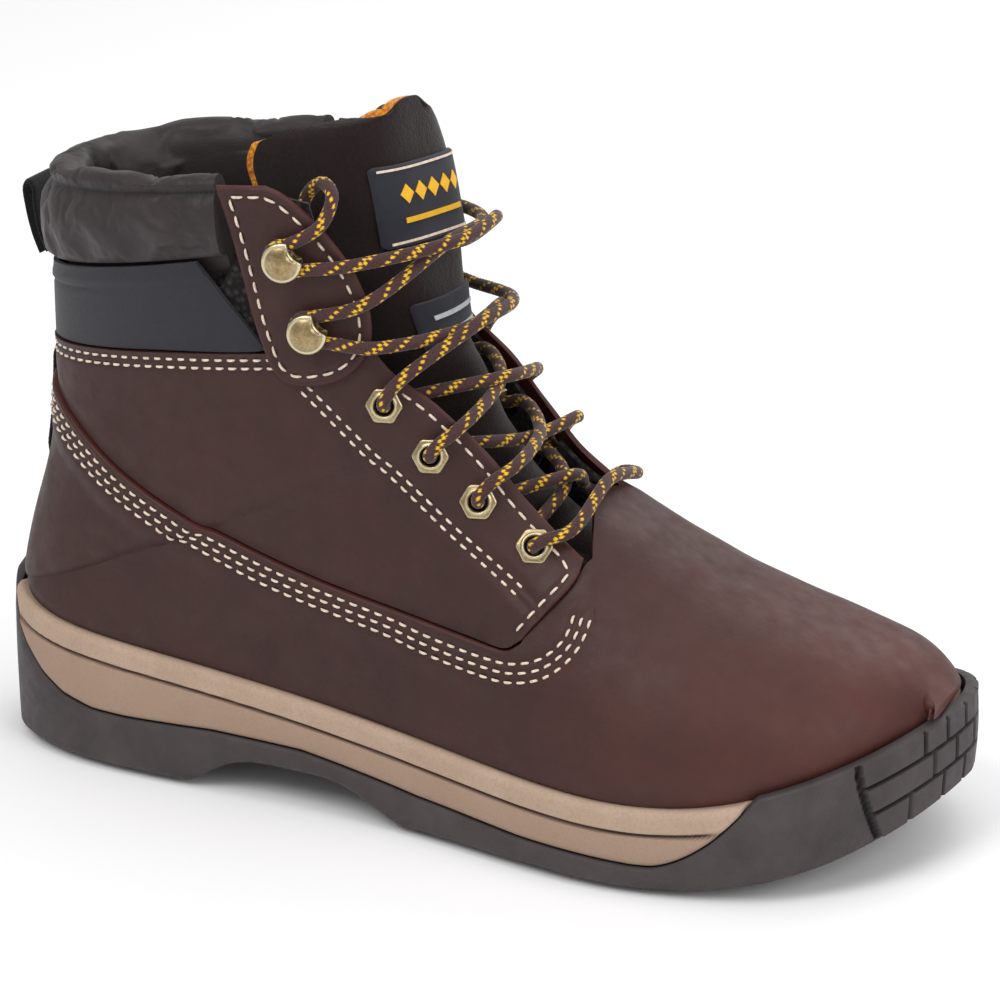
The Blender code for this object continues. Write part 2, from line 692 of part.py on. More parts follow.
# hook flaps laid over the quarter and the collar end
flaps = {}
for side, word in ((-1, "lateral"), (1, "medial")):
    back = path_us(FLAP_BACK, side, 10)
    front = path_us(FLAP_FRONT, side, 10)
    p, nrm, lo, hi = ruled(back, front, 7, GAP * 2 + LEATHER, GAP * 2 + LEATHER * 2, side)
    flaps[side] = skin("hook_flap_" + word, [(p, nrm, lo, hi, side < 0)], M_LEATHER)

# padded collar roll
COLLAR_SECTION = ((0.068, -0.8), (0.067, 2.9), (0.052, 4.5), (0.030, 4.5), (0.010, 3.0),
                  (0.000, 0.2), (-0.004, -3.5), (0.002, -7.0), (0.020, -9.0), (0.050, -9.4),
                  (0.076, -7.6), (0.088, -5.4), (0.084, -4.0), (0.074, -2.6))


def sweep_rings(rings):
    m = len(rings[0])
    verts = [p for r in rings for p in r]
    faces = []
    for i in range(len(rings) - 1):
        for k in range(m):
            k2 = (k + 1) % m
            faces.append((i * m + k, i * m + k2, (i + 1) * m + k2, (i + 1) * m + k))
    faces.append(tuple(range(m))[::-1])
    faces.append(tuple((len(rings) - 1) * m + k for k in range(m)))
    return verts, faces


rings = []
stations = [(-1, s) for s in np.linspace(0.538, 0.03, 14)] + [(0, 0.0)] \
    + [(1, s) for s in np.linspace(0.03, 0.538, 14)]
for side, s in stations:
    taper = 1.0 - 0.30 * smooth(0.42, 0.545, s)
    ring = []
    for u, d in COLLAR_SECTION:
        if side == 0:
            p = form(u, 0.0, -1)
            n = np.array([-1.0, 0.0, 0.0])
        else:
            p = form(u, s, side)
            n = normal(u, s, side)
        depth = d * (taper if d < 0 else 1.0)
        ring.append(p + n * depth)
    rings.append(ring)
v, f = sweep_rings(rings)
add("collar", np.array(v), f, M_COLLAR)

# steel toe cap, its edge strip, heel counter and linings lie under the leather
U_CAP = 0.825
U_NOSE = 0.968


def toe_sheets(u0, u1, n, rows, lo, hi, s0=0.040):
    out = []
    for side in (-1, 1):
        u = np.linspace(u0, u1, n)
        low = np.stack([u, np.full(n, s0)], -1)
        high = np.stack([u, np.ones(n)], -1)
        p, nrm, a, b = ruled(low, high, rows, lo, hi, side)
        out.append((p, nrm, a, b, side > 0))
    return close_tip(out) if u1 > 0.95 else out


skin("steel_toe_cap", toe_sheets(U_CAP, U_NOSE, 8, 7, -0.6 - CAP_STEEL, -0.6), M_STEEL)
skin("toe_cap_edge_strip", toe_sheets(U_CAP - 0.020, U_CAP - 0.004, 2, 7, -0.6 - 1.2, -0.6), M_RUBBER)

sheets = []
for side in (-1, 1):
    n = 12
    low = curve_us(((U_HEEL - 0.020, 0.0), (U_HEEL + 0.02, 0.035), (0.53, 0.040)), n, 1.3)
    high = path_us(((-137, 98), (-128, 96), (-105, 82), (-80, 64), (-68, 52)), side, n, 1.3)
    high[0, 1] = 0.0
    p, nrm, lo, hi = ruled(low, high, 5, -DEPTH_COUNTER - COUNTER, -DEPTH_COUNTER, side)
    p[:, 0, 1] = 0.0
    sheets.append((p, nrm, lo, hi, side > 0))
skin("heel_counter", sheets, M_BOARD)


def lining_depth(p):
    """Lining steps inwards where the toe cap and the heel counter lie outside it."""
    deep = np.maximum(smooth(90, 97, p[..., 0]),
                      smooth(-52, -64, p[..., 0]) * smooth(116, 106, p[..., 2]))
    return -DEPTH_LINING - (1.1 + max(CAP_STEEL, COUNTER)) * deep


def lining_sheet(low, high, rows, side, back):
    p, nrm, lo, hi = ruled(low, high, rows, 0.0, 0.0, side)
    hi = lining_depth(p)
    lo = hi - LINING
    if back:
        p[:, 0, 1] = 0.0
    return (p, nrm, lo, hi, side > 0)


sheets = []
for side in (-1, 1):
    rim = ((0.108, 0.0), (0.108, 0.55), (0.085, 0.585), (0.020, 0.605), (0.030, 0.690))
    high = np.concatenate([curve_us(rim, 14, 1.4),
                           path_us(((-36, 170), (-26, 150), (-17.5, 136.5), (-5, 125.5),
                                    (8, 113), (15, 106)), side, 7)])
    low = curve_us(((U_HEEL - 0.020, 0.0), (U_HEEL + 0.02, 0.035), (0.640, 0.040)), len(high), 1.3)
    sheets.append(lining_sheet(low, high, 7, side, True))
lining_q = skin("quarter_lining", sheets, M_LINING)

sheets = []
for side in (-1, 1):
    high = np.concatenate([path_us(((17, 104.5), (24, 98), (36, 89.5), (46, 87)), side, 5),
                           curve_us(((0.640, 0.90), (0.640, 1.0), (U_NOSE - 0.012, 1.0)), 14)])
    low = curve_us(((0.648, 0.040), (U_NOSE - 0.012, 0.040)), len(high))
    sheets.append(lining_sheet(low, high, 6, side, False))
lining_v = skin("vamp_lining", close_tip(sheets), M_LINING)

# ---- tongue ---------------------------------------------------------------------------
TONGUE_U = np.concatenate([np.linspace(0.632, 0.30, 10), np.linspace(0.265, -0.055, 11)])
HALF_W = np.interp(TONGUE_U, (-0.055, -0.045, -0.03, 0.0, 0.12, 0.22, 0.30, 0.50, 0.632),
                   (17.0, 23.0, 26.5, 27.5, 26.5, 23.5, 22.5, 20.5, 16.0))
SET_BACK = np.interp(TONGUE_U, (-0.055, -0.03, 0.0, 0.12, 0.22, 0.30, 0.50, 0.632),
                     (26, 39, 43, 38, 30, 27, 21, 12))


def tongue_sheet(trim, depth):
    """Open sheet of the tongue, edges trimmed inwards, at a depth under the ridge."""
    n_across = 11
    rows = []
    up = []
    for u, hw, sb in zip(TONGUE_U, HALF_W, SET_BACK):
        xb, zb, xt, zt = (float(q) for q in chord(u))
        down = np.array([xb - xt, 0, zb - zt])
        down /= np.linalg.norm(down)
        sink = TONGUE_SINK * float(smooth(0.03, 0.20, u))
        phi = np.linspace(-1, 1, n_across) * (np.pi / 2) * (1 - trim / hw)
        upper = 1 - float(smooth(0.10, 0.26, u))
        bow = sb * (1 - np.cos(phi)) ** (1 + TONGUE_FLAT * upper)
        p = form(u, 1.0, -1) + down * (sink + bow)[:, None]
        p[:, 1] = hw * np.sin(phi)
        p[:, 0] += TONGUE_TWIST * upper * p[:, 1]
        rows.append(p)
        up.append(-down)
    p = np.array(rows)
    n = np.cross(np.gradient(p, axis=0), np.gradient(p, axis=1))
    n /= np.linalg.norm(n, axis=-1, keepdims=True)
    n *= np.sign((n * np.array(up)[:, None]).sum(-1).mean())
    return p - n * depth, n


def tongue_piece(name, trim, lo, hi, mat, cut_rows):
    p, n = tongue_sheet(trim, 0.0)
    p = p[cut_rows[0]: len(p) - cut_rows[1]]
    n = n[cut_rows[0]: len(n) - cut_rows[1]]
    verts = p.reshape(-1, 3)
    v, f = thicken(verts, grid_faces(p.shape[0], p.shape[1]), n.reshape(-1, 3), lo, hi)
    return add(name, v, f, mat, TONGUE_HINGE)


d1 = -TONGUE_TOP
tongue_piece("tongue_face", 0.0, d1 - TONGUE_FACE, d1, M_SUEDE, (0, 0))
d2 = d1 - TONGUE_FACE - 0.5
tongue_piece("tongue_foam", 2.5, d2 - TONGUE_FOAM, d2, M_FOAM, (2, 1))
d3 = d2 - TONGUE_FOAM - 0.5
tongue_piece("tongue_lining", 0.6, d3 - TONGUE_BACK, d3, M_ORANGE, (0, 0))


def tongue_patch(name, rows, cols, mat, t):
    p, n = tongue_sheet(0.0, 0.0)
    p = p[rows[0]:rows[1], cols[0]:cols[1]]
    n = n[rows[0]:rows[1], cols[0]:cols[1]]
    v, f = thicken(p.reshape(-1, 3), grid_faces(p.shape[0], p.shape[1]), n.reshape(-1, 3),
                   -TONGUE_TOP + GAP, -TONGUE_TOP + GAP + t)
    return add(name, v, f, mat, TONGUE_HINGE)


tongue_patch("tongue_label", (15, 19), (2, 9), M_LABEL, LABEL_T)
tongue_patch("tongue_tag", (11, 14), (2, 9), M_LABEL, TAG_T)

# ---- back strip and pull loop ---------------------------------------------------------
back_u = np.linspace(0.118, U_HEEL - 0.022, 14)
rows = []
for u in back_u:
    p = form(u, 0.0, -1)
    q = form(u + 0.002, 0.0, -1) - form(u - 0.002, 0.0, -1)
    n = np.array([q[2], 0, -q[0]])
    n /= np.linalg.norm(n)
    if n[0] > 0:
        n = -n
    z = p[2]
    lift = GAP + LEATHER + 0.5 + (VAMP_LIFT + 0.2) * smooth(124, 118, z) * smooth(84, 90, z)
    rows.append([p + n * (lift + e) + np.array([0, y, 0])
                 for y, e in ((-WEB_W / 2, 0), (WEB_W / 2, 0), (WEB_W / 2, WEB_T), (-WEB_W / 2, WEB_T))])
v, f = sweep_rings(rows)
add("back_strip", np.array(v), f, M_WEB)

loop_line = [(-140.8, 151.5), (-143.4, 158), (-144.6, 166), (-144.9, 171.5), (-146.4, 173.4),
             (-147.9, 171.5), (-147.4, 165), (-145.6, 157), (-143.2, 150.8)]
line = np.array(loop_line)
tang = np.gradient(line, axis=0)
tang /= np.linalg.norm(tang, axis=1, keepdims=True)
nor = np.stack([-tang[:, 1], tang[:, 0]], -1)
rows = []
for (x, z), (nx, nz) in zip(line, nor):
    ring = []
    for y, e in ((-WEB_W / 2, -0.5), (WEB_W / 2, -0.5), (WEB_W / 2, 0.5), (-WEB_W / 2, 0.5)):
        ring.append(np.array([x + nx * e * WEB_T, y, z + nz * e * WEB_T]))
    rows.append(ring)
v, f = sweep_rings(rows)
add("heel_pull_loop", np.array(v), f, M_WEB, LOOP_HINGE)

# ---- eyelets and hooks ----------------------------------------------------------------
HOLE_CLEAR = EYELET_HOLE_R + 0.9 + 0.25
HOOK_BASE = GAP * 2 + LEATHER * 2 + 0.15

for side, word in ((-1, "lateral"), (1, "medial")):
    cutters_q = []
    cutters_l = []
    cutters_v = []
    for k, (x, z) in enumerate(EYELETS):
        p, n = frame_at(x, z, side)
        top = GAP + LEATHER + 0.1
        low = -0.5
        r = EYELET_HOLE_R
        # rim on the leather, barrel through it, rolled edge behind
        prof = [(r, top + 0.9), (r + 0.9, top + 1.2), (EYELET_OUT_R - 0.3, top + 0.9),
                (EYELET_OUT_R, top + 0.4), (EYELET_OUT_R, top), (r + 0.9, top),
                (r + 0.9, low + 0.3), (r + 2.0, low), (r + 1.8, low - 0.5), (r, low - 0.3)]
        centre = np.array(p)

        def hexed(rr, ang, big=EYELET_OUT_R - 0.5):
            if rr < big:
                return rr
            a = (ang % (math.pi / 3)) - math.pi / 6
            return rr * math.cos(math.pi / 6) / math.cos(a) * 1.04
        a_v, a_f = lathe(prof, centre, n, 18, hexed)
        add("eyelet_%s_%d" % (word, k + 1), a_v, a_f, M_BRASS)
        seat = EYELET_OUT_R + 0.4
        cv, cf = solid_lathe([(seat, 6.0), (seat, top - 0.15), (HOLE_CLEAR, top - 0.15),
                              (HOLE_CLEAR, -4.0)], centre, n, 16)
        cutters_q.append(add("hole", cv, cf, M_BRASS))
        for store in (cutters_l, cutters_v):
            cv, cf = solid_lathe([(r + 2.5, 4.0), (r + 2.5, -9.0)], centre, n, 14)
            store.append(add("hole", cv, cf, M_BRASS))
    cut(quarters[side], cutters_q)
    cut(lining_q, cutters_l[:3])
    cut(lining_v, cutters_v[2:])
    for c in cutters_l[3:] + cutters_v[:2]:
        bpy.data.objects.remove(c, do_unlink=True)
    cutters = []
    for k, (x, z) in enumerate(HOOKS):
        p, n = frame_at(x, z, side)
        base = HOOK_BASE
        inner = -0.3
        c = np.array(p)
        # foot plate, stem and domed head in one turned body, rivet tail through the flap
        prof = [(0.01, inner - 0.9), (RIVET_R, inner - 0.7), (RIVET_R, inner), (1.5, inner),
                (1.5, base - 0.1), (4.6, base), (4.6, base + 0.8), (2.0, base + 1.0),
                (2.0, base + 5.4), (HOOK_R, base + 5.8), (HOOK_R, base + 6.6),
                (HOOK_R * 0.6, base + 7.5), (0.01, base + 7.8)]
        hv, hf = solid_lathe(prof, c, n, 12)
        add("hook_%s_%d" % (word, k + 1), hv, hf, M_BRASS)
        for hole_r in (1.9, RIVET_R + 0.5):
            cv, cf = solid_lathe([(hole_r, 12.0), (hole_r, -9.0)], c, n, 12)
            cutters.append(add("hole", cv, cf, M_BRASS))
    cut(flaps[side], cutters[0::2])
    cut(lining_q, cutters[1::2])

# ---- lace -----------------------------------------------------------------------------
def at(x, z, side, off):
    p, n = frame_at(x, z, side)
    return p + n * off


def ridge(x, z, off, y=0.0):
    """Point over the ridge on the rib through a side-view point."""
    u, s = place(x, z, -1)
    n = normal(u, 0.99, -1) + normal(u, 0.99, 1)
    n /= np.linalg.norm(n)
    p = form(u, 1.0, -1) + n * off
    p[1] = y
    return p


def hook_turn(k, side):
    """Half turn of the lace round the back of a hook stem, from below to above."""
    x, z = HOOKS[k]
    p, n = frame_at(x, z, side)
    c = p + n * (HOOK_BASE + 3.2)
    fwd = at(x + 3, z + 1.0, side, 0) - p
    fwd /= np.linalg.norm(fwd)
    upw = np.cross(n, fwd) * -side
    upw /= np.linalg.norm(upw)
    if upw[2] < 0:
        upw = -upw
    out = []
    for deg in (-62, -100, -140, 180, 140, 100, 62):
        a = math.radians(deg)
        out.append(c + (fwd * math.cos(a) + upw * math.sin(a)) * 4.5)
    return out


def strand(first, order):
    """Half of the lace from the middle of the bottom bar to its end, starting at side `first`."""
    pts = []
    side = first
    x, z = EYELETS[3]
    pts += [at(x + 8, z + 2.0, side, 6.2), at(x + 2.5, z + 0.8, side, 6.3), at(x, z, side, 4.2),
            at(x, z, side, -2.2), at(x - 2.0, z + 4.5, side, -5.6)]
    pts += [ridge(19.5, 95.5, -4.8 + order * 4.5)]
    side = -side
    ex, ez = EYELETS[2]
    pts += [at(ex + 4.5, ez + 1.5, side, -5.4), at(ex + 0.8, ez + 0.3, side, -4.2), at(ex, ez, side, 3.4)]
    for k in (2, 1):
        x, z = EYELETS[k]
        nx, nz = EYELETS[k - 1]
        pts += [at(x + 0.2, z + 1.4, side, 5.8), at(x + 2.4, z + 5.0, side, 6.5),
                at(x + 6.5, z + 8.5, side, 5.4)]
        pts += [ridge((x + nx) / 2, (z + nz) / 2, -4.8 + order * 4.5)]
        side = -side
        pts += [at(nx + 9.5, nz + 3.2, side, -4.4), at(nx + 3.6, nz + 1.2, side, -5.4),
                at(nx + 0.8, nz + 0.3, side, -4.2), at(nx, nz, side, 3.4)]
    x, z = EYELETS[0]
    hx, hz = HOOKS[1]
    pts += [at(x + 0.2, z + 1.4, side, 5.8), at(x + 2.0, z + 5.0, side, 6.6),
            at(x + 5.5, z + 9.0, side, 5.2)]
    over = (-9.0, 17.0) if side < 0 else (17.0, -9.0)
    pts += [ridge((x + hx) / 2 + 1, (z + hz) / 2 - 2, -3.5 + order * 4.5, y) for y in over]
    side = -side
    pts += [at(-21.5, 144.0, side, HOOK_BASE + 3.0)]
    pts += hook_turn(1, side)
    pts += [at(-25.0, 156.5, side, HOOK_BASE + 3.0)]
    pts += [ridge(-41.0, 162.0, 1.0 + order * 4.5, y) for y in over[::-1]]
    side = -side
    pts += [at(-29.5, 168.0, side, HOOK_BASE + 3.0)]
    pts += hook_turn(0, side)
    pts += [at(-36.0, 180.0, side, HOOK_BASE + 2.4), at(-33.5, 187.5, side, 3.2), at(-36.0, 190.0, side, -3.0),
            at(-40.5, 186.0, side, -7.2), at(-44.0, 176.0, side, -7.4), at(-46.5, 164.0, side, -7.6),
            at(-49.0, 150.0, side, -8.2), at(-52.0, 134.0, side, -9.0), at(-55.0, 118.0, side, -10.0),
            at(-58.0, 102.0, side, -11.5)]
    return pts


left = strand(-1, 0)
right = strand(1, 1)
middle = [ridge(36.5, 96.5, 6.0)]
LACE = [np.array(p) for p in left[::-1] + middle + right]
data = bpy.data.curves.new("lace", "CURVE")
data.dimensions = "3D"
data.bevel_depth = LACE_D / 2 * MM
data.bevel_resolution = 2
data.use_fill_caps = True
spl = data.splines.new("POLY")
spl.points.add(len(LACE) - 1)
for sp, p in zip(spl.points, LACE):
    sp.co = (p[0] * LENGTH_SCALE * MM, p[1] * WIDTH_SCALE * MM, p[2] * HEIGHT_SCALE * MM, 1.0)
data.materials.append(M_LACE)
lace = bpy.data.objects.new("lace", data)
bpy.context.scene.collection.objects.link(lace)

for word, (a, b) in (("medial", (LACE[1], LACE[0])), ("lateral", (LACE[-2], LACE[-1]))):
    d = (b - a) / np.linalg.norm(b - a)
    v, f = solid_lathe([(1.7, 0.3), (1.9, 1.0), (1.9, 21.0), (1.4, 22.0)], b, d, 10)
    add("lace_tip_" + word, v, f, M_TIP)

# ---- the boot stands centred over the origin, on the ground plane ----------------------
bpy.context.view_layer.update()
for obj in bpy.data.objects:
    obj.location.x -= CENTRE[0] * LENGTH_SCALE * MM
    obj.location.y -= CENTRE[1] * WIDTH_SCALE * MM
bpy.context.view_layer.update()
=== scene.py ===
"""Looks of the steel toe work boot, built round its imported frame.

The upper's panels are laid on the same ribbed boot form as the frame's leather pieces, at fine
resolution, with rolled edges and pressed-in stitch lines. Lengths are millimetres on the form;
make() turns them into metres in the row frame. side is -1 on the outer side and +1 on the inner.
"""

import math

import bmesh
import bpy
import numpy as np
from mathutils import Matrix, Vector


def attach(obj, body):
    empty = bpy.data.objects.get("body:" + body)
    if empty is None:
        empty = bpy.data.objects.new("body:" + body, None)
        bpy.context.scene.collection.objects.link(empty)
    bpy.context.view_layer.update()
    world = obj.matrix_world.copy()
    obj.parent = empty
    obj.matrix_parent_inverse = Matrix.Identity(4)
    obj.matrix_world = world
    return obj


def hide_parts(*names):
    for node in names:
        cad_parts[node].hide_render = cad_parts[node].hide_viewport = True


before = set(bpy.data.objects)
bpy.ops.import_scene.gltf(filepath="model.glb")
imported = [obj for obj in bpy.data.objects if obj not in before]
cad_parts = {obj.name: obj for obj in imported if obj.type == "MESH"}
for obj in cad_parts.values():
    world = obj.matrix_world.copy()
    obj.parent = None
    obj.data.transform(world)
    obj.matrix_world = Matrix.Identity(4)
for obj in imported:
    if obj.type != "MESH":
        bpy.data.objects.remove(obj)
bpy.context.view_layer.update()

MM = 0.001
SHIFT = np.array((2.75, 1.41, 0.0))          # from the boot form to the row frame

# ---- sizes shared with the frame -------------------------------------------------------
GAP = 0.35
LEATHER = 1.8
VAMP_LIFT = 1.1
LINING = 1.4
DEPTH_LINING = 1.1
CAP_STEEL = 1.8
TONGUE_FACE = 1.3
TONGUE_PAD = 5.7
TONGUE_TOP = 5.6
TONGUE_SINK = 4.2
LACE_D = 3.8
EYELET_HOLE_R = 2.75
EYELET_OUT_R = 5.4
HOOK_R = 5.8
WEB_W = 14.0
WEB_T = 1.2
QUARTER_TOP = GAP + LEATHER
FLAP_TOP = 2 * (GAP + LEATHER)

RIBS = (
    (-134.0, 0.0, 0.0, 182.0, -15.0, 196.0, 38.0, 38.0),
    (-134.5, 0.0, 0.0, 160.0, -12.0, 183.0, 37.5, 37.5),
    (-135.0, 0.0, 0.0, 138.0, -8.0, 170.0, 37.0, 37.0),
    (-135.5, 0.0, 0.0, 115.0, -3.0, 157.0, 36.5, 36.5),
    (-138.5, 0.0, 0.0, 90.0, 2.0, 146.0, 37.0, 36.0),
    (-143.5, 0.0, 0.0, 70.0, 6.0, 138.0, 37.5, 36.0),
    (-147.5, 0.0, 0.0, 51.0, 10.0, 130.0, 38.0, 36.0),
    (-144.0, -17.0, 17.0, 49.0, 13.0, 124.0, 38.0, 36.0),
    (-133.0, -29.5, 28.0, 46.5, 16.0, 118.0, 38.5, 36.0),
    (-112.0, -36.5, 34.0, 44.0, 20.0, 112.0, 39.0, 36.0),
    (-80.0, -38.5, 36.0, 41.0, 26.0, 105.0, 39.5, 36.0),
    (-40.0, -39.0, 36.0, 36.0, 35.0, 98.0, 40.0, 37.5),
    (0.0, -43.0, 40.0, 31.0, 47.0, 91.0, 44.0, 42.0),
    (35.0, -50.0, 47.0, 28.0, 62.0, 83.0, 50.5, 48.0),
    (65.0, -53.0, 49.5, 27.0, 79.0, 74.5, 53.5, 50.5),
    (93.0, -47.5, 50.0, 29.5, 97.0, 67.5, 48.5, 50.5),
    (116.0, -34.5, 45.0, 36.0, 114.0, 61.5, 36.5, 46.0),
    (131.5, -16.5, 35.0, 42.0, 127.5, 56.5, 19.5, 36.0),
    (139.5, 0.5, 23.0, 45.5, 136.0, 51.5, 2.5, 24.0),
    (142.0, 12.0, 12.0, 47.0, 141.5, 48.5, 12.0, 12.0),
)
RIDGE_Y = (0,) * 13 + (1, 3, 5, 8, 11, 12, 12)
SHOULDER = (0.40,) * 9 + (0.42, 0.45, 0.50, 0.62, 0.74, 0.82, 0.84, 0.82, 0.76, 0.70, 0.66)
HEEL_ROUND = (0.80, 0.80, 0.79, 0.76, 0.70, 0.62, 0.55) + (0.55,) * 13
NR = len(RIBS) - 1
U_HEEL = 6 / NR

SEAM = ((-136, 117), (-123, 109), (-99, 95), (-59, 79), (-10, 67), (22, 61.5), (30, 64))
TAB = ((30, 64), (36, 72), (42, 80), (43.5, 85))
FACING = ((-22, 143), (-15.5, 136), (-3, 127.5), (10, 115), (23, 101), (37, 89.5), (43.5, 85))
BAND_LOW = ((-135, 129), (-120, 131), (-86, 136), (-55, 139.5), (-22, 143))
EYELETS = ((-17, 127), (-3.5, 113), (11, 100.5), (28.5, 89))
HOOKS = ((-45, 170), (-38, 149))


def spline(xk, yk, x):
    """Natural cubic spline through the knots."""
    xk = np.asarray(xk, float)
    yk = np.asarray(yk, float)
    n = len(xk)
    h = np.diff(xk)
    a = np.zeros((n, n))
    r = np.zeros(n)
    a[0, 0] = a[-1, -1] = 1.0
    for i in range(1, n - 1):
        a[i, i - 1:i + 2] = h[i - 1], 2 * (h[i - 1] + h[i]), h[i]
        r[i] = 3 * ((yk[i + 1] - yk[i]) / h[i] - (yk[i] - yk[i - 1]) / h[i - 1])
    c = np.linalg.solve(a, r)
    b = np.diff(yk) / h - h * (2 * c[:-1] + c[1:]) / 3
    d = np.diff(c) / (3 * h)
    x = np.asarray(x, float)
    i = np.clip(np.searchsorted(xk, x) - 1, 0, n - 2)
    t = x - xk[i]
    return yk[i] + b[i] * t + c[i] * t * t + d[i] * t ** 3


KNOTS = np.arange(NR + 1) / NR
RIB = np.array(RIBS, float)


def chord(u):
    """Start and ridge end of the rib at u, in side view."""
    u = np.asarray(u, float)
    out = []
    for col in (0, 3, 4, 5):
        slope = (RIB[0, col] - RIB[1, col]) * NR
        out.append(spline(KNOTS, RIB[:, col], np.maximum(u, 0.0)) + slope * np.maximum(-u, 0.0))
    return out


def section(u, s, side):
    """Share of the chord and of the half width at s along rib u."""
    uc = np.clip(np.asarray(u, float), 0.0, 1.0)
    yb = spline(KNOTS, RIB[:, 1 if side < 0 else 2], uc)
    half = spline(KNOTS, RIB[:, 6 if side < 0 else 7], uc)
    yt = spline(KNOTS, np.array(RIDGE_Y, float), uc)
    yb = np.where(uc < U_HEEL, 0.0, yb)
    width = np.maximum((half * side - yt) * side, 1e-6)
    beta = np.clip((yb - yt) * side / width, 0, 1)
    beta = np.where(uc > 0.9999, 0.0, beta)
    round_c = (1 - np.cos(np.pi * s)) / 2
    round_y = np.clip(np.sin(np.pi * s), 0, 1) ** spline(KNOTS, HEEL_ROUND, uc)
    open_c = np.sin(np.pi / 2 * s)
    open_y = np.clip(np.cos(np.pi / 2 * s), 0, 1) ** spline(KNOTS, SHOULDER, uc)
    return (1 - beta) * round_c + beta * open_c, (1 - beta) * round_y + beta * open_y, width, yt


def form(u, s, side):
    """Point of the boot form."""
    u = np.asarray(u, float)
    s = np.asarray(s, float)
    xb, zb, xt, zt = chord(u)
    c, y, width, yt = section(u, s, side)
    width = np.where(u > 0.9999, 0.0, width)
    return np.stack([xb + (xt - xb) * c, yt + side * width * y, zb + (zt - zb) * c], -1)


def normal(u, s, side):
    """Outward unit normal of the form."""
    h = 1e-3
    u = np.minimum(np.asarray(u, float), 0.994)
    s = np.clip(np.asarray(s, float), 0.004, 0.996)
    a = form(u + h, s, side) - form(u - h, s, side)
    b = form(u, s + h, side) - form(u, s - h, side)
    return unit(np.cross(a, b) * -side)


def unit(v):
    return v / np.maximum(np.linalg.norm(v, axis=-1, keepdims=True), 1e-9)


def smooth(a, b, x):
    t = np.clip((np.asarray(x, float) - a) / (b - a), 0, 1)
    return t * t * (3 - 2 * t)


S_TAB = np.linspace(0, 1, 201)
U_TAB = np.linspace(-0.06, 1, 531)
CHORDS = chord(U_TAB)


def place(xz, side):
    """Rib places (u, s) of points given in side view."""
    xz = np.asarray(xz, float)
    flat = xz.reshape(-1, 2)
    xb, zb, xt, zt = CHORDS
    dx = xt - xb
    dz = zt - zb
    length = np.hypot(dx, dz)
    ox = flat[:, :1] - xb
    oz = flat[:, 1:] - zb
    off = (ox * dz - oz * dx) / length
    share = (ox * dx + oz * dz) / length ** 2
    ok = (share > -0.03) & (share < 1.03)
    k = np.argmin(np.where(ok, np.abs(off), 1e9), 1)
    i = np.arange(len(flat))
    j = k.copy()
    for step in (-1, 1):
        m = np.clip(k + step, 0, len(U_TAB) - 1)
        j = np.where(ok[i, m] & (off[i, m] * off[i, k] < 0), m, j)
    gap = off[i, k] - off[i, j]
    w = np.where(j == k, 0.0, off[i, k] / np.where(gap == 0, 1, gap))
    u = U_TAB[k] + (U_TAB[j] - U_TAB[k]) * w
    c = share[i, k] + (share[i, j] - share[i, k]) * w
    cs = section(u[:, None], S_TAB[None], side)[0]
    m = np.clip((cs < c[:, None]).sum(1), 1, 200)
    c0 = cs[i, m - 1]
    c1 = cs[i, m]
    s = S_TAB[m - 1] + np.clip((c - c0) / np.maximum(c1 - c0, 1e-12), 0, 1) * (S_TAB[1] - S_TAB[0])
    return np.stack([u, s], -1).reshape(xz.shape)


def catmull(points, n, closed=False):
    """n even steps along a smooth curve through the points."""
    p = np.array(points, float)
    if closed:
        p = np.concatenate([p[-1:], p, p[:2]])
    else:
        p = np.concatenate([2 * p[:1] - p[1:2], p, 2 * p[-1:] - p[-2:-1]])
    out = []
    t = np.linspace(0, 1, 24, endpoint=False)[:, None]
    for i in range(1, len(p) - 2):
        a, b, c, d = p[i - 1:i + 3]
        k = [0.0]
        for q, r in ((a, b), (b, c), (c, d)):
            k.append(k[-1] + max(np.linalg.norm(r - q), 1e-6) ** 0.5)
        x = k[1] + (k[2] - k[1]) * t
        a1 = a + (b - a) * (x - k[0]) / (k[1] - k[0])
        a2 = b + (c - b) * (x - k[1]) / (k[2] - k[1])
        a3 = c + (d - c) * (x - k[2]) / (k[3] - k[2])
        b1 = a1 + (a2 - a1) * (x - k[0]) / (k[2] - k[0])
        b2 = a2 + (a3 - a2) * (x - k[1]) / (k[3] - k[1])
        out.append(b1 + (b2 - b1) * (x - k[1]) / (k[2] - k[1]))
    out.append(p[-2:-1])
    return resample(np.concatenate(out), n)


def resample(line, n, bias=1.0):
    """n points along a polyline; bias over 1 crowds them at its start."""
    line = np.asarray(line, float)
    t = np.concatenate([[0], np.cumsum(np.linalg.norm(np.diff(line, axis=0), axis=1))])
    q = t[-1] * np.linspace(0, 1, n) ** bias
    return np.stack([np.interp(q, t, line[:, k]) for k in range(line.shape[1])], -1)


def offset(line, d):
    """Moves a side-view line d to its left."""
    tangent = unit(np.gradient(np.asarray(line, float), axis=0))
    return line + np.stack([-tangent[:, 1], tangent[:, 0]], -1) * d


def distance(xz, line):
    """Distance of side-view points from a line."""
    a = np.asarray(line, float)[:-1]
    ab = np.asarray(line, float)[1:] - a
    ap = xz[..., None, :] - a
    t = np.clip((ap * ab).sum(-1) / np.maximum((ab ** 2).sum(-1), 1e-9), 0, 1)
    return np.linalg.norm(ap - t[..., None] * ab, axis=-1).min(-1)


def side_view(p):
    return p[..., ::2]


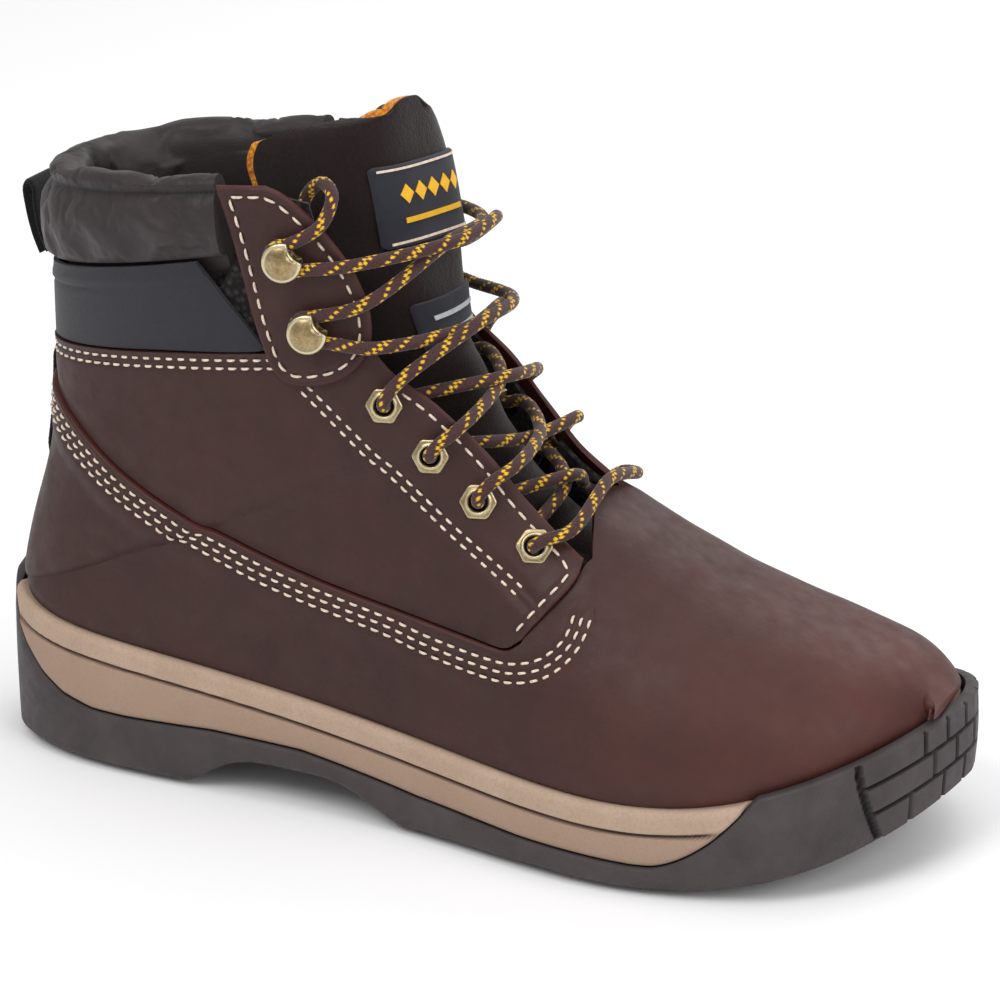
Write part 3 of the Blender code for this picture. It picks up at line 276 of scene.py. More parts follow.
# ---- node materials --------------------------------------------------------------------
class Look:
    """A material and short calls that add nodes to it."""

    def __init__(self, name, rough=0.6, metal=0.0, **sockets):
        self.mat = bpy.data.materials.new(name)
        self.mat.use_nodes = True
        self.tree = self.mat.node_tree
        self.shader = self.tree.nodes["Principled BSDF"]
        self.shader.inputs["Roughness"].default_value = rough
        self.shader.inputs["Metallic"].default_value = metal
        for key, value in sockets.items():
            self.shader.inputs[key.replace("_", " ")].default_value = value
        self.height = None
        self.where = self.add("ShaderNodeTexCoord").outputs["Object"]

    def add(self, kind, **settings):
        node = self.tree.nodes.new(kind)
        for key, value in settings.items():
            setattr(node, key, value)
        return node

    def feed(self, socket, value):
        if isinstance(value, bpy.types.NodeSocket):
            self.tree.links.new(value, socket)
        else:
            socket.default_value = value

    def noise(self, scale, detail=3.0, rough=0.55, stretch=None):
        node = self.add("ShaderNodeTexNoise")
        self.feed(node.inputs["Vector"], self.stretched(stretch))
        node.inputs["Scale"].default_value = scale
        node.inputs["Detail"].default_value = detail
        node.inputs["Roughness"].default_value = rough
        return node.outputs["Fac"]

    def stretched(self, stretch):
        if stretch is None:
            return self.where
        node = self.add("ShaderNodeMapping")
        self.feed(node.inputs["Vector"], self.where)
        node.inputs["Scale"].default_value = stretch
        return node.outputs["Vector"]

    def cells(self, scale, feature="F1", stretch=None):
        node = self.add("ShaderNodeTexVoronoi", feature=feature)
        self.feed(node.inputs["Vector"], self.stretched(stretch))
        node.inputs["Scale"].default_value = scale
        return node.outputs["Distance"]

    def wave(self, scale, axis="Z", distortion=0.0):
        node = self.add("ShaderNodeTexWave", bands_direction=axis)
        self.feed(node.inputs["Vector"], self.where)
        node.inputs["Scale"].default_value = scale
        node.inputs["Distortion"].default_value = distortion
        return node.outputs["Fac"]

    def attribute(self, name):
        return self.add("ShaderNodeAttribute", attribute_name=name).outputs["Fac"]

    def calc(self, operation, a, b=0.0, c=0.0):
        node = self.add("ShaderNodeMath", operation=operation)
        for socket, value in zip(node.inputs, (a, b, c)):
            self.feed(socket, value)
        return node.outputs[0]

    def remap(self, value, low, high, to_low=0.0, to_high=1.0):
        node = self.add("ShaderNodeMapRange")
        for socket, v in zip(node.inputs, (value, low, high, to_low, to_high)):
            self.feed(socket, v)
        return node.outputs[0]

    def blend(self, share, a, b):
        node = self.add("ShaderNodeMix", data_type="RGBA")
        self.feed(node.inputs[0], share)
        for socket, value in ((node.inputs[6], a), (node.inputs[7], b)):
            self.feed(socket, (*srgb(value), 1.0) if isinstance(value, tuple) else value)
        return node.outputs[2]

    def colour(self, value):
        self.feed(self.shader.inputs["Base Color"],
                  (*srgb(value), 1.0) if isinstance(value, tuple) else value)

    def rough(self, value):
        self.feed(self.shader.inputs["Roughness"], value)

    def relief(self, height, millimetres, strength=1.0):
        """Bump of that depth, laid over any earlier one."""
        node = self.add("ShaderNodeBump")
        node.inputs["Strength"].default_value = strength
        node.inputs["Distance"].default_value = millimetres * MM
        self.feed(node.inputs["Height"], height)
        if self.height is not None:
            self.feed(node.inputs["Normal"], self.height)
        self.height = node.outputs["Normal"]
        self.feed(self.shader.inputs["Normal"], self.height)


def srgb(value):
    """Linear colour from 0-255 sRGB."""
    v = np.array(value, float) / 255
    return tuple(float(x) for x in np.where(v <= 0.04045, v / 12.92, ((v + 0.055) / 1.055) ** 2.4))


def leather_look():
    m = Look("oiled_leather", Specular_IOR_Level=0.36)
    broad = m.remap(m.noise(26, 4, 0.6), 0.36, 0.66)
    cloudy = m.remap(m.noise(110, 5, 0.65), 0.34, 0.68)
    fine = m.remap(m.noise(700, 3, 0.6), 0.30, 0.72)
    base = m.blend(broad, (48, 26, 23), (58, 31, 27))
    base = m.blend(m.calc("MULTIPLY", cloudy, 0.45), base, (70, 36, 31))
    base = m.blend(m.calc("MULTIPLY", fine, 0.30), base, (38, 19, 19))
    place_x = m.add("ShaderNodeSeparateXYZ")
    m.feed(place_x.inputs[0], m.where)
    toe = m.remap(place_x.outputs[0], 0.030, 0.135)
    toe = m.calc("MULTIPLY", toe, m.remap(m.noise(38, 4, 0.6), 0.30, 0.62, 0.35, 0.95))
    base = m.blend(toe, base, (83, 40, 33))
    wear = m.calc("MULTIPLY", m.attribute("edge"), m.remap(m.noise(500, 2), 0.3, 0.6, 0.5, 0.95))
    m.colour(m.blend(wear, base, (76, 34, 28)))
    m.rough(m.remap(m.noise(160, 4), 0.3, 0.7, 0.46, 0.62))
    pores = m.remap(m.cells(1500), 0.0, 0.34)
    m.relief(m.noise(60, 4, 0.6), 0.5, 0.5)
    m.relief(m.noise(420, 5, 0.7), 0.16, 0.7)
    m.relief(pores, 0.05, 0.6)
    return m.mat


def suede_look():
    m = Look("tongue_suede", 0.95, Sheen_Weight=0.35, Sheen_Roughness=0.5, Specular_IOR_Level=0.15)
    nap = m.remap(m.noise(900, 4, 0.7), 0.32, 0.68)
    patch = m.remap(m.noise(90, 4, 0.6), 0.35, 0.65)
    base = m.blend(nap, (16, 7, 7), (35, 18, 16))
    m.colour(m.blend(m.calc("MULTIPLY", patch, 0.5), base, (22, 10, 9)))
    m.relief(m.noise(1400, 4, 0.7), 0.35, 0.8)
    m.relief(m.noise(140, 3, 0.6), 0.5, 0.5)
    return m.mat


def terry_look():
    m = Look("tongue_lining", 0.95, Sheen_Weight=0.4, Specular_IOR_Level=0.15)
    loops = m.cells(900)
    m.colour(m.blend(m.remap(loops, 0.1, 0.75), (246, 172, 44), (196, 104, 16)))
    m.relief(loops, -0.5, 0.9)
    return m.mat


def collar_look():
    m = Look("collar_fabric", 0.55, Specular_IOR_Level=0.4, Sheen_Weight=0.08)
    base = m.blend(m.remap(m.noise(45, 4), 0.35, 0.65), (37, 28, 29), (44, 34, 35))
    # the crease mark is painted shade: near black in the rim groove and along the back seam crease
    m.colour(m.blend(m.calc("MULTIPLY", m.attribute("crease_shade"), 0.85), base, (10, 7, 8)))
    m.rough(m.remap(m.noise(220, 3), 0.3, 0.7, 0.48, 0.62))
    m.relief(m.cells(1300), -0.05, 0.6)
    m.relief(m.noise(70, 4, 0.55), 0.5, 0.5)
    return m.mat


def woven_look(name, dark, light, pitch, rough=0.7, depth=0.16, speck=0.25):
    """Plain weave: warp and weft ribs crossing."""
    m = Look(name, rough, Specular_IOR_Level=0.25, Sheen_Weight=0.15)
    warp = m.wave(pitch, "Z")
    weft = m.wave(pitch, "DIAGONAL")
    weave = m.calc("MAXIMUM", warp, weft)
    shade = m.calc("MULTIPLY", weave, m.remap(m.noise(400, 3), 0.3, 0.7, 1 - speck, 1.0))
    m.colour(m.blend(shade, dark, light))
    m.relief(weave, depth, 0.8)
    return m.mat


def webbing_look():
    """Ribbed tape: cords across and fibre streaks along."""
    m = Look("black_webbing", 0.85, Specular_IOR_Level=0.2, Sheen_Weight=0.2)
    # the colour follows the rib height, lighter on the cord crests: painted shade in the weave's hollows
    across = m.attribute("rib")
    fibre = m.noise(1500, 2, 0.6, (1, 1, 0.3))
    m.colour(m.blend(m.calc("MULTIPLY", across, m.remap(fibre, 0.3, 0.7, 0.5, 1.0)), (9, 9, 9), (32, 32, 32)))
    m.relief(fibre, 0.12, 0.7)
    return m.mat


def brass_look():
    m = Look("antique_brass", 0.34, 1.0)
    speck = m.remap(m.noise(1300, 3, 0.6), 0.44, 0.60)
    patina = m.remap(m.noise(260, 3, 0.6), 0.35, 0.68)
    base = m.blend(patina, (176, 158, 118), (150, 128, 92))
    base = m.blend(m.calc("MULTIPLY", speck, 0.4), base, (112, 92, 62))
    m.colour(m.blend(m.attribute("rim"), base, (214, 202, 168)))
    m.rough(m.remap(m.noise(700, 3), 0.3, 0.7, 0.26, 0.44))
    m.relief(m.noise(900, 3), 0.03, 0.5)
    return m.mat


def rubber_look():
    m = Look("outsole_rubber", 0.62, Specular_IOR_Level=0.35)
    grain = m.cells(850, stretch=(1, 1, 1))
    base = m.blend(m.remap(m.noise(60, 4), 0.3, 0.7), (57, 50, 51), (72, 64, 65))
    # the recess mark is painted shade: darker in the bumper's block grooves, between the lugs and on the
    # hidden wall top
    m.colour(m.blend(m.attribute("groove"), base, (23, 20, 20)))
    m.rough(m.remap(m.noise(300, 3), 0.3, 0.7, 0.52, 0.7))
    m.relief(m.calc("MULTIPLY", m.remap(grain, 0.0, 0.6), m.attribute("grain")), -0.22, 0.9)
    m.relief(m.noise(1800, 2), 0.04, 0.6)
    return m.mat


def foam_sole_look():
    m = Look("tan_foam", 0.66, Specular_IOR_Level=0.3)
    base = m.blend(m.attribute("band"), (162, 136, 118), (181, 157, 137))
    base = m.blend(m.calc("MULTIPLY", m.remap(m.noise(55, 5, 0.6), 0.35, 0.7), 0.4), base, (151, 125, 106))
    base = m.blend(m.calc("MULTIPLY", m.remap(m.noise(1400, 2), 0.45, 0.7), 0.25), base, (134, 110, 92))
    # the recess mark is painted shade: darker in the band groove, as a painted shadow line along the foot over
    # the outsole, and at the top rim under the upper
    m.colour(m.blend(m.attribute("groove"), base, (66, 48, 38)))
    m.relief(m.noise(1100, 4, 0.7), 0.12, 0.8)
    return m.mat


def thread_look():
    m = Look("stitch_thread", 0.75, Specular_IOR_Level=0.3, Sheen_Weight=0.2)
    m.colour(m.blend(m.remap(m.noise(900, 3), 0.3, 0.7), (238, 222, 204), (206, 184, 164)))
    m.relief(m.noise(2500, 2), 0.12, 0.8)
    return m.mat


def lace_look():
    m = Look("braided_lace", 0.72, Specular_IOR_Level=0.3, Sheen_Weight=0.2)
    thread = m.remap(m.noise(2600, 2, 0.6), 0.3, 0.7)
    brown = m.blend(thread, (44, 22, 24), (84, 50, 48))
    # painted shade in the hollows between the braid's yarns
    brown = m.blend(m.remap(m.attribute("valley_shade"), 0.0, 1.0, 0.0, 0.8), brown, (20, 9, 10))
    yellow = m.blend(thread, (250, 206, 36), (214, 156, 14))
    m.colour(m.blend(m.attribute("fleck"), brown, yellow))
    m.relief(m.noise(3200, 2), 0.08, 0.7)
    return m.mat


def plain_look(name, dark, light, scale, rough, depth, metal=0.0):
    m = Look(name, rough, metal)
    m.colour(m.blend(m.remap(m.noise(scale, 5, 0.6), 0.3, 0.7), dark, light))
    m.rough(m.remap(m.noise(scale * 2.3, 3), 0.3, 0.7, rough - 0.06, rough + 0.08))
    m.relief(m.noise(scale * 4, 4, 0.65), depth, 0.7)
    return m.mat


def mesh_knit_look():
    m = Look("mesh_lining", 0.92, Sheen_Weight=0.2, Specular_IOR_Level=0.15)
    holes = m.cells(520)
    m.colour(m.blend(m.remap(holes, 0.1, 0.6), (66, 61, 60), (26, 23, 23)))
    m.relief(holes, -0.3, 0.8)
    return m.mat


LOOKS = {
    "oiled_leather": leather_look(), "tongue_suede": suede_look(), "tongue_lining": terry_look(),
    "collar_fabric": collar_look(), "antique_brass": brass_look(), "outsole_rubber": rubber_look(),
    "tan_foam": foam_sole_look(), "braided_lace": lace_look(), "black_webbing": webbing_look(),
    "black_band": woven_look("black_band", (15, 15, 19), (44, 44, 52), 900, 0.6),
    "label_fabric": woven_look("label_fabric", (18, 19, 27), (50, 51, 62), 1100, 0.65),
    "mesh_lining": mesh_knit_look(), "thread": thread_look(),
    "toe_steel": plain_look("toe_steel", (150, 152, 156), (182, 184, 188), 120, 0.36, 0.03, 1.0),
    "fibre_board": plain_look("fibre_board", (160, 140, 112), (188, 168, 138), 300, 0.9, 0.12),
    "foam": plain_look("foam", (190, 184, 160), (206, 202, 180), 420, 0.9, 0.2),
    "lace_tip": plain_look("lace_tip", (70, 40, 30), (92, 56, 44), 300, 0.32, 0.02),
    "footbed_cover": woven_look("footbed_cover", (34, 32, 33), (70, 66, 66), 700, 0.9),
    "print": plain_look("yellow_print", (238, 176, 26), (248, 192, 40), 600, 0.5, 0.02),
    "print_grey": plain_look("grey_print", (176, 180, 190), (206, 208, 214), 600, 0.6, 0.02),
}


# ---- mesh building ---------------------------------------------------------------------
def make(name, verts, faces, look, slot=None, body="boot", replaces=(), marks=None, sharp=38):
    """A named piece from form millimetres, riding on its body."""
    mesh = bpy.data.meshes.new(name)
    mesh.from_pydata(((np.asarray(verts, float) + SHIFT) * MM).tolist(), [], faces)
    for key, values in (marks or {}).items():
        mesh.attributes.new(key, "FLOAT", "POINT").data.foreach_set("value", np.asarray(values, np.float32))
    bm = bmesh.new()
    bm.from_mesh(mesh)
    bmesh.ops.recalc_face_normals(bm, faces=bm.faces)
    if bm.calc_volume(signed=True) < 0:
        bmesh.ops.reverse_faces(bm, faces=bm.faces)
    bm.to_mesh(mesh)
    bm.free()
    mesh.materials.append(LOOKS[look])
    mesh.shade_smooth()
    mesh.set_sharp_from_angle(angle=math.radians(sharp))
    obj = bpy.data.objects.new(name, mesh)
    bpy.context.scene.collection.objects.link(obj)
    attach(obj, body)
    if replaces:
        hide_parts(*replaces)
    return obj


def grid_faces(rows, cols, base=0, flip=False, around=False):
    """Faces of a grid; around closes each row on itself."""
    r = np.arange(rows - 1)[:, None] * cols
    c = np.arange(cols if around else cols - 1)[None]
    a = base + r + c
    b = base + r + (c + 1) % cols
    f = np.stack([a, b, b + cols, a + cols], -1).reshape(-1, 4)
    return (f[:, ::-1] if flip else f).tolist()


def weld(sheets):
    """Joins sheets (points, normals, low, high, flip, marks) into one open sheet."""
    keys, order, faces, base = {}, [], [], 0
    pts = np.concatenate([s[0].reshape(-1, 3) for s in sheets])
    nrm = np.concatenate([s[1].reshape(-1, 3) for s in sheets])
    lo = np.concatenate([np.broadcast_to(s[2], s[0].shape[:2]).reshape(-1) for s in sheets])
    hi = np.concatenate([np.broadcast_to(s[3], s[0].shape[:2]).reshape(-1) for s in sheets])
    mark = np.concatenate([np.broadcast_to(s[5], s[0].shape[:2]).reshape(-1) for s in sheets])
    index = np.zeros(len(pts), int)
    total = []
    for i, key in enumerate(map(tuple, np.round(pts, 2))):
        k = keys.get(key)
        if k is None:
            k = keys[key] = len(order)
            order.append(i)
            total.append(nrm[i].copy())
        else:
            total[k] += nrm[i]
        index[i] = k
    for s in sheets:
        rows, cols = s[0].shape[:2]
        for f in grid_faces(rows, cols, base, s[4]):
            g = tuple(dict.fromkeys(int(index[k]) for k in f))
            if len(g) > 2:
                faces.append(g)
        base += rows * cols
    order = np.array(order)
    return pts[order], faces, unit(np.array(total)), lo[order], hi[order], mark[order]


def skin(name, sheets, look, holes=(), **more):
    """Closed skin over welded sheets, with round holes at (centre, radius)."""
    verts, faces, norms, lo, hi, mark = weld(sheets)
    if holes:
        mid = np.array([verts[list(f)].mean(0) for f in faces])
        keep = np.ones(len(faces), bool)
        for centre, radius in holes:
            keep &= np.linalg.norm(mid - centre, axis=1) > radius
        faces = [f for f, k in zip(faces, keep) if k]
        used = sorted({i for f in faces for i in f})
        new = {old: i for i, old in enumerate(used)}
        faces = [tuple(new[i] for i in f) for f in faces]
        verts, norms, lo, hi, mark = verts[used], norms[used], lo[used], hi[used], mark[used]
    n = len(verts)
    both = np.concatenate([verts + norms * hi[:, None], verts + norms * lo[:, None]])
    out = faces + [tuple(i + n for i in reversed(f)) for f in faces]
    uses = {}
    for f in faces:
        for a, b in zip(f, f[1:] + f[:1]):
            uses.setdefault((min(a, b), max(a, b)), []).append((a, b))
    for found in uses.values():
        if len(found) == 1:
            a, b = found[0]
            out.append((b, a, a + n, b + n))
    return make(name, both, out, look, marks={"edge": np.concatenate([mark, np.ones(n)])}, **more)


def steps(n, fine=5, reach=0.03):
    """0 to 1 with extra fine steps at both ends."""
    lead = reach * (np.arange(fine) / fine) ** 1.6
    return np.concatenate([lead, np.linspace(reach, 1 - reach, n - 2 * fine), 1 - lead[::-1]])


def between(low, high, t, side, over=None):
    """(u, s) grid from one curve to another, straight in side view; over blends to straight in (u, s)."""
    t = np.asarray(t)[:, None, None]
    xz = side_view(form(low[:, 0], low[:, 1], side))[None] * (1 - t) \
        + side_view(form(high[:, 0], high[:, 1], side))[None] * t
    us = place(xz, side)
    us[0] = low
    us[-1] = high
    if over is not None:
        w = np.asarray(over)[None, :, None]
        us = us * (1 - w) + (low[None] * (1 - t) + high[None] * t) * w
    return us


def laid(us, side):
    return form(us[..., 0], us[..., 1], side), normal(us[..., 0], us[..., 1], side)


def rolled(d, radius=0.8):
    """Drop of a surface towards its cut edge."""
    x = np.clip(1 - d / radius, 0, 1)
    return radius * (1 - np.sqrt(np.clip(1 - x * x, 0, 1)))


def pressed(xz, lines, depth=0.35, width=0.95):
    """Depth pressed into the leather along stitch lines."""
    out = np.zeros(xz.shape[:-1])
    for line in lines:
        out = np.maximum(out, depth * np.exp(-(distance(xz, line) / width) ** 2))
    return out


def ripple(p):
    """Slight unevenness of a stretched skin."""
    x, y, z = p[..., 0], p[..., 1], p[..., 2]
    return 0.14 * np.sin(x / 9.0 + z / 14.0 + 1.3 * np.sin(z / 17.0)) \
        + 0.12 * np.sin(z / 7.5 - x / 21.0 + y / 11.0) + 0.07 * np.sin(x / 4.1 - z / 5.3)


def on_form(xz, side, off=0.0):
    """Points on the form at side-view places, raised by off, with their normals."""
    us = place(np.asarray(xz, float), side)
    p, n = laid(us, side)
    return p + n * np.asarray(off, float)[..., None], n


# ---- camera, light and floor ------------------------------------------------------------
# lamp: name, place, size, power
LAMPS = (("key", (-0.40, -1.15, 1.5), 0.9, 12.5), ("fill", (1.5, -0.6, 1.1), 1.0, 9.5),
         ("back", (0.3, 1.5, 1.2), 1.4, 9.5), ("top", (0.25, 0.0, 1.9), 1.2, 7.0))
CAMERA_AZIMUTH, CAMERA_ELEVATION = 23.2, 20.7
CAMERA_DISTANCE, CAMERA_LENS = 1.073, 130.7


def stage_set():
    aim = Vector((0.0082, 0.0015, 0.0904))
    azimuth, elevation = math.radians(CAMERA_AZIMUTH), math.radians(CAMERA_ELEVATION)
    back = Vector((math.sin(azimuth) * math.cos(elevation), -math.cos(azimuth) * math.cos(elevation),
                   math.sin(elevation)))
    camera = bpy.data.objects.new("camera", bpy.data.cameras.new("camera"))
    camera.data.lens = CAMERA_LENS
    camera.data.clip_start = 0.05
    camera.location = aim + back * CAMERA_DISTANCE
    camera.rotation_euler = (-back).to_track_quat("-Z", "Y").to_euler()
    bpy.context.scene.collection.objects.link(camera)
    bpy.context.scene.camera = camera

    mesh = bpy.data.meshes.new("floor")
    r = 6.0
    mesh.from_pydata([(-r, -r, 0), (r, -r, 0), (r, r, 0), (-r, r, 0)], [], [(0, 1, 2, 3)])
    floor = bpy.data.objects.new("floor", mesh)
    look = Look("pale_floor", 0.9, Specular_IOR_Level=0.1)
    look.colour((252, 252, 253))
    mesh.materials.append(look.mat)
    bpy.context.scene.collection.objects.link(floor)

    world = bpy.data.worlds.new("studio")
    bpy.context.scene.world = world
    world.use_nodes = True
    world.node_tree.nodes["Background"].inputs[0].default_value = (1.0, 1.0, 1.0, 1.0)
    world.node_tree.nodes["Background"].inputs[1].default_value = 0.55
    for name, spot, size, power in LAMPS:
        lamp = bpy.data.objects.new(name, bpy.data.lights.new(name, "AREA"))
        lamp.data.size = size
        lamp.data.energy = power
        lamp.location = spot
        lamp.rotation_euler = (Vector(spot) - aim).to_track_quat("Z", "Y").to_euler()
        bpy.context.scene.collection.objects.link(lamp)
    bpy.context.scene.view_settings.view_transform = "Standard"


stage_set()


# ---- sole -------------------------------------------------------------------------------
def feather(u, side):
    p = np.stack([spline(KNOTS, RIB[:, 0], u), spline(KNOTS, RIB[:, 1 if side < 0 else 2], u),
                  spline(KNOTS, RIB[:, 3], u)], -1)
    p[0, 1] = 0.0
    return p


def sole_ring():
    """Closed feather line, finest round the toe, its plan normals and arc length from the toe tip."""
    u = np.linspace(U_HEEL, 1, 1500)
    both = (feather(u, -1), feather(u, 1))
    run = sum(np.concatenate([[0], np.cumsum(np.linalg.norm(np.diff(b, axis=0), axis=1))]) for b in both) / 2
    left = run[-1] - run
    weight = np.where(left < 62, 1.0, 0.42)
    t = np.concatenate([[0], np.cumsum(np.diff(run) * (weight[1:] + weight[:-1]) / 2)])
    u = np.interp(np.linspace(0, t[-1], STATIONS), t, u)
    a, b = feather(u, -1), feather(u, 1)
    ring = np.concatenate([a, b[-2:0:-1]])
    d = np.roll(ring, -1, 0) - np.roll(ring, 1, 0)
    for _ in range(4):
        d = (d + np.roll(d, 1, 0) + np.roll(d, -1, 0)) / 3
    n = unit(np.stack([d[:, 1], -d[:, 0]], -1))
    if n[0, 0] > 0:
        n = -n
    arc = np.concatenate([[0], np.cumsum(np.linalg.norm(np.diff(ring[:, :2], axis=0), axis=1))])
    return ring, n, arc - arc[STATIONS - 1]


STATIONS = 330
RING, RING_N, ARC = sole_ring()
RX, FZ = RING[:, 0], RING[:, 2]
LOW = np.interp(RX, (-150, -110, -70, -40, 0, 35, 70, 95, 120, 142),
                (19, 18.5, 20, 19, 13, 10, 9, 10, 15.5, 26))
GROUND = spline((-151, -146, -120, -79, -66, -45, -25, -8, 30, 55, 85, 105, 120, 132, 142),
                (4.5, 1.0, 0, 0, 7.5, 10, 8, 0.6, 0, 0, 1, 4, 8.5, 14, 20), RX)
GROUND = np.maximum(GROUND, 0.0)
TOE_RISE = np.clip((RX - 74) / 28, 0, 1) ** 1.7
HEEL_RISE = np.interp(RX, (-148, -145.5, -143.5, -140, -136, -130, -122, -112, -100),
                      (1, 0.97, 0.84, 0.62, 0.42, 0.23, 0.09, 0.02, 0))
RISE = np.maximum(TOE_RISE, HEEL_RISE)
WRAP = smooth(0.75, 1.0, RISE)
OUT = 5.0 + 1.2 * RISE
RIM = FZ + np.where(RX > 0, 1.0, 2.5)
WALL_TOP = LOW * (1 - RISE) + RIM * RISE
LUG = 2.0
TREAD_UP = GROUND + LUG
BRICK_ARC = 44.0


def loops(name, levels, look, cap_low, cap_high, slot, replaces, marks=None):
    """Closed body of rings; each cap is a grid across the boot from cap(points, share)."""
    n = len(RING)
    verts = [np.asarray(lv, float) for lv in levels]
    rows = len(verts)
    faces = grid_faces(rows, n, around=True)
    allv = np.concatenate(verts)
    extra = {k: np.concatenate([np.broadcast_to(m, n) for m in v]) for k, v in (marks or {}).items()}
    across = 64
    for row, cap, flip in ((0, cap_low, True), (rows - 1, cap_high, False)):
        base = len(allv)
        a = verts[row][:STATIONS]
        b = verts[row][np.r_[0, np.arange(n - 1, STATIONS - 2, -1)]]
        t = np.linspace(0, 1, across + 1)[1:-1]
        mid = a[1:-1, None] * (1 - t)[None, :, None] + b[1:-1, None] * t[None, :, None]
        # cap also gives the painted recess shade of its grid
        mid, tone = cap(mid, t)
        allv = np.concatenate([allv, mid.reshape(-1, 3)])
        for k in extra:
            same = np.full(mid[..., 0].size, extra[k][row * n])
            extra[k] = np.concatenate([extra[k], tone.reshape(-1) if k == "groove" else same])
        m = across - 1

        def index(i, j):
            if j == 0:
                return row * n + i
            if j == across:
                return row * n + (0 if i == 0 else n - i)
            return base + (i - 1) * m + j - 1
        out = []
        for i in range(STATIONS - 1):
            for j in range(across):
                if i == 0:
                    f = [row * n, index(1, j + 1), index(1, j)]
                elif i == STATIONS - 2:
                    f = [index(i, j), index(i, j + 1), row * n + STATIONS - 1]
                else:
                    f = [index(i, j), index(i, j + 1), index(i + 1, j + 1), index(i + 1, j)]
                out.append(f[::-1] if flip else f)
        faces += out
    return make(name, allv, faces, look, slot=slot, replaces=replaces, marks=extra, sharp=50)


def level(off, z):
    n = len(RING)
    off = np.broadcast_to(np.asarray(off, float), n)[:, None]
    return np.concatenate([RING[:, :2] + RING_N * off, np.broadcast_to(np.asarray(z, float), n)[:, None]], 1)


def bar(d, width, blur=0.35):
    """1 inside a groove of that width, fading over blur."""
    return 1 - smooth(width / 2 - blur / 2, width / 2 + blur / 2, np.abs(d))


def brick_grooves(share):
    """Depth share of the toe bumper's block pattern at a height share of the bumper."""
    lean = 7.0 * (1 - share) ** 1.5
    inside = 1 - smooth(BRICK_ARC - lean - 0.3, BRICK_ARC - lean + 0.3, np.abs(ARC))
    edge = bar(np.abs(ARC) - (BRICK_ARC - lean), 1.7)
    rows = np.maximum(bar((share - 0.70) * 24, 0.9), bar((share - 0.36) * 24, 0.9)) * inside
    joints = np.zeros(len(ARC))
    if share > 0.70:
        stops = (4.5, 13.0, 22.0)
    elif share > 0.36:
        stops = (0.0, 9.0, 18.5)
    else:
        stops = (4.5, 14.0, 27.0)
    for stop in stops:
        joints = np.maximum(joints, bar(np.abs(ARC) - stop, 0.9))
    joints = joints * inside
    return np.maximum(np.maximum(edge * 1.5, rows), joints), inside


def plain_cap(p, t):
    """Smooth cap without relief or painted recess shade."""
    return p, p[..., 0] * 0


def outsole():
    n = len(RING)
    bottom = TREAD_UP
    levels, groove, grain = [], [], []

    def push(lv, g=0.0, gr=0.5):
        levels.append(lv)
        groove.append(np.broadcast_to(g, n))
        grain.append(np.broadcast_to(gr, n))
    grain_zone = smooth(-20, 90, RX) * 0.9 + 0.1
    push(level(0.5, bottom), 0, 0)
    push(level(2.6, bottom), 0, 0)
    for t, off in ((0.0, 3.9), (0.4, 4.6), (1.0, 5.2)):
        push(level(off + (OUT - 5.0) * 0.5, bottom + t * 1.4), 0, grain_zone)
    rows = 46
    for k in range(rows + 1):
        share = k / rows
        z = (bottom + 1.8) * (1 - share) + (WALL_TOP - 0.5) * share
        depth, inside = brick_grooves(share)
        bulge = 0.5 * math.sin(math.pi * min(1.0, share * 1.1))
        off = OUT + 0.45 + bulge * (0.4 + 0.6 * WRAP) - 1.15 * depth + 0.55 * inside
        off = off - 0.9 * smooth(0.90, 1.0, share) * (1 - WRAP) * 0.4
        # painted shade in the bumper's block grooves
        push(level(off, z), np.clip(depth, 0, 1) * 0.9, grain_zone * (1 - 0.85 * inside))
    inner = np.minimum(OUT - 0.6 - 2.2 * WRAP, OUT - 1.0)
    push(level(OUT - 0.1, WALL_TOP - 0.1), 0, 0.2)
    push(level(OUT - 0.5, WALL_TOP), 0, 0)
    # painted shade on the hidden inner wall top
    push(level(inner, WALL_TOP), 0.5, 0)
    push(level(inner - 0.3, np.minimum(WALL_TOP - 0.1, FZ - 3.2)), 0.8, 0)
    push(level(-3.0, np.minimum(WALL_TOP - 0.1, FZ - 3.2)), 0, 0)

    def tread(p, t):
        x, y = p[..., 0], p[..., 1]
        width = np.abs(p[:, -1:, 1] - p[:, :1, 1]) + 2
        edge = np.minimum(t, 1 - t)[None] * width
        heel = smooth(-74, -78, x)
        fore = smooth(-9, -5, x)
        pad = np.clip(heel + fore, 0, 1)
        side_step = np.where(t[None] < 0.5, 0.0, 9.0)
        ring_lug = bar(np.mod(x + side_step, 20.0) - 10.0, 12.5, 1.6)
        ring_lug = ring_lug * smooth(1.2, 2.6, edge) * smooth(15.5, 14.0, edge)
        y0 = (p[:, -1:, 1] + p[:, :1, 1]) / 2
        chevron = bar(np.mod(x + 0.55 * np.abs(y - y0), 17.0) - 8.5, 10.5, 1.6)
        chevron = chevron * smooth(18.0, 19.6, edge)
        split = 1 - bar(y - y0, 2.4, 1.2)
        arch = 0.35 * bar(np.mod(x, 6.0) - 3.0, 3.0, 1.6) * smooth(9, 12, edge) * (1 - pad)
        lug = np.clip(np.maximum(ring_lug, chevron * split), 0, 1) * pad + arch
        out = p.copy()
        out[..., 2] -= LUG * np.clip(lug, 0, 1)
        # the second value is painted shade, darker in the recesses between the lugs
        return out, 0.55 * (1 - np.clip(lug, 0, 1))

    return loops("outsole_rubber", levels, "outsole_rubber", tread, plain_cap,
                 "outsole_rubber", ["outsole"], {"groove": groove, "grain": grain})


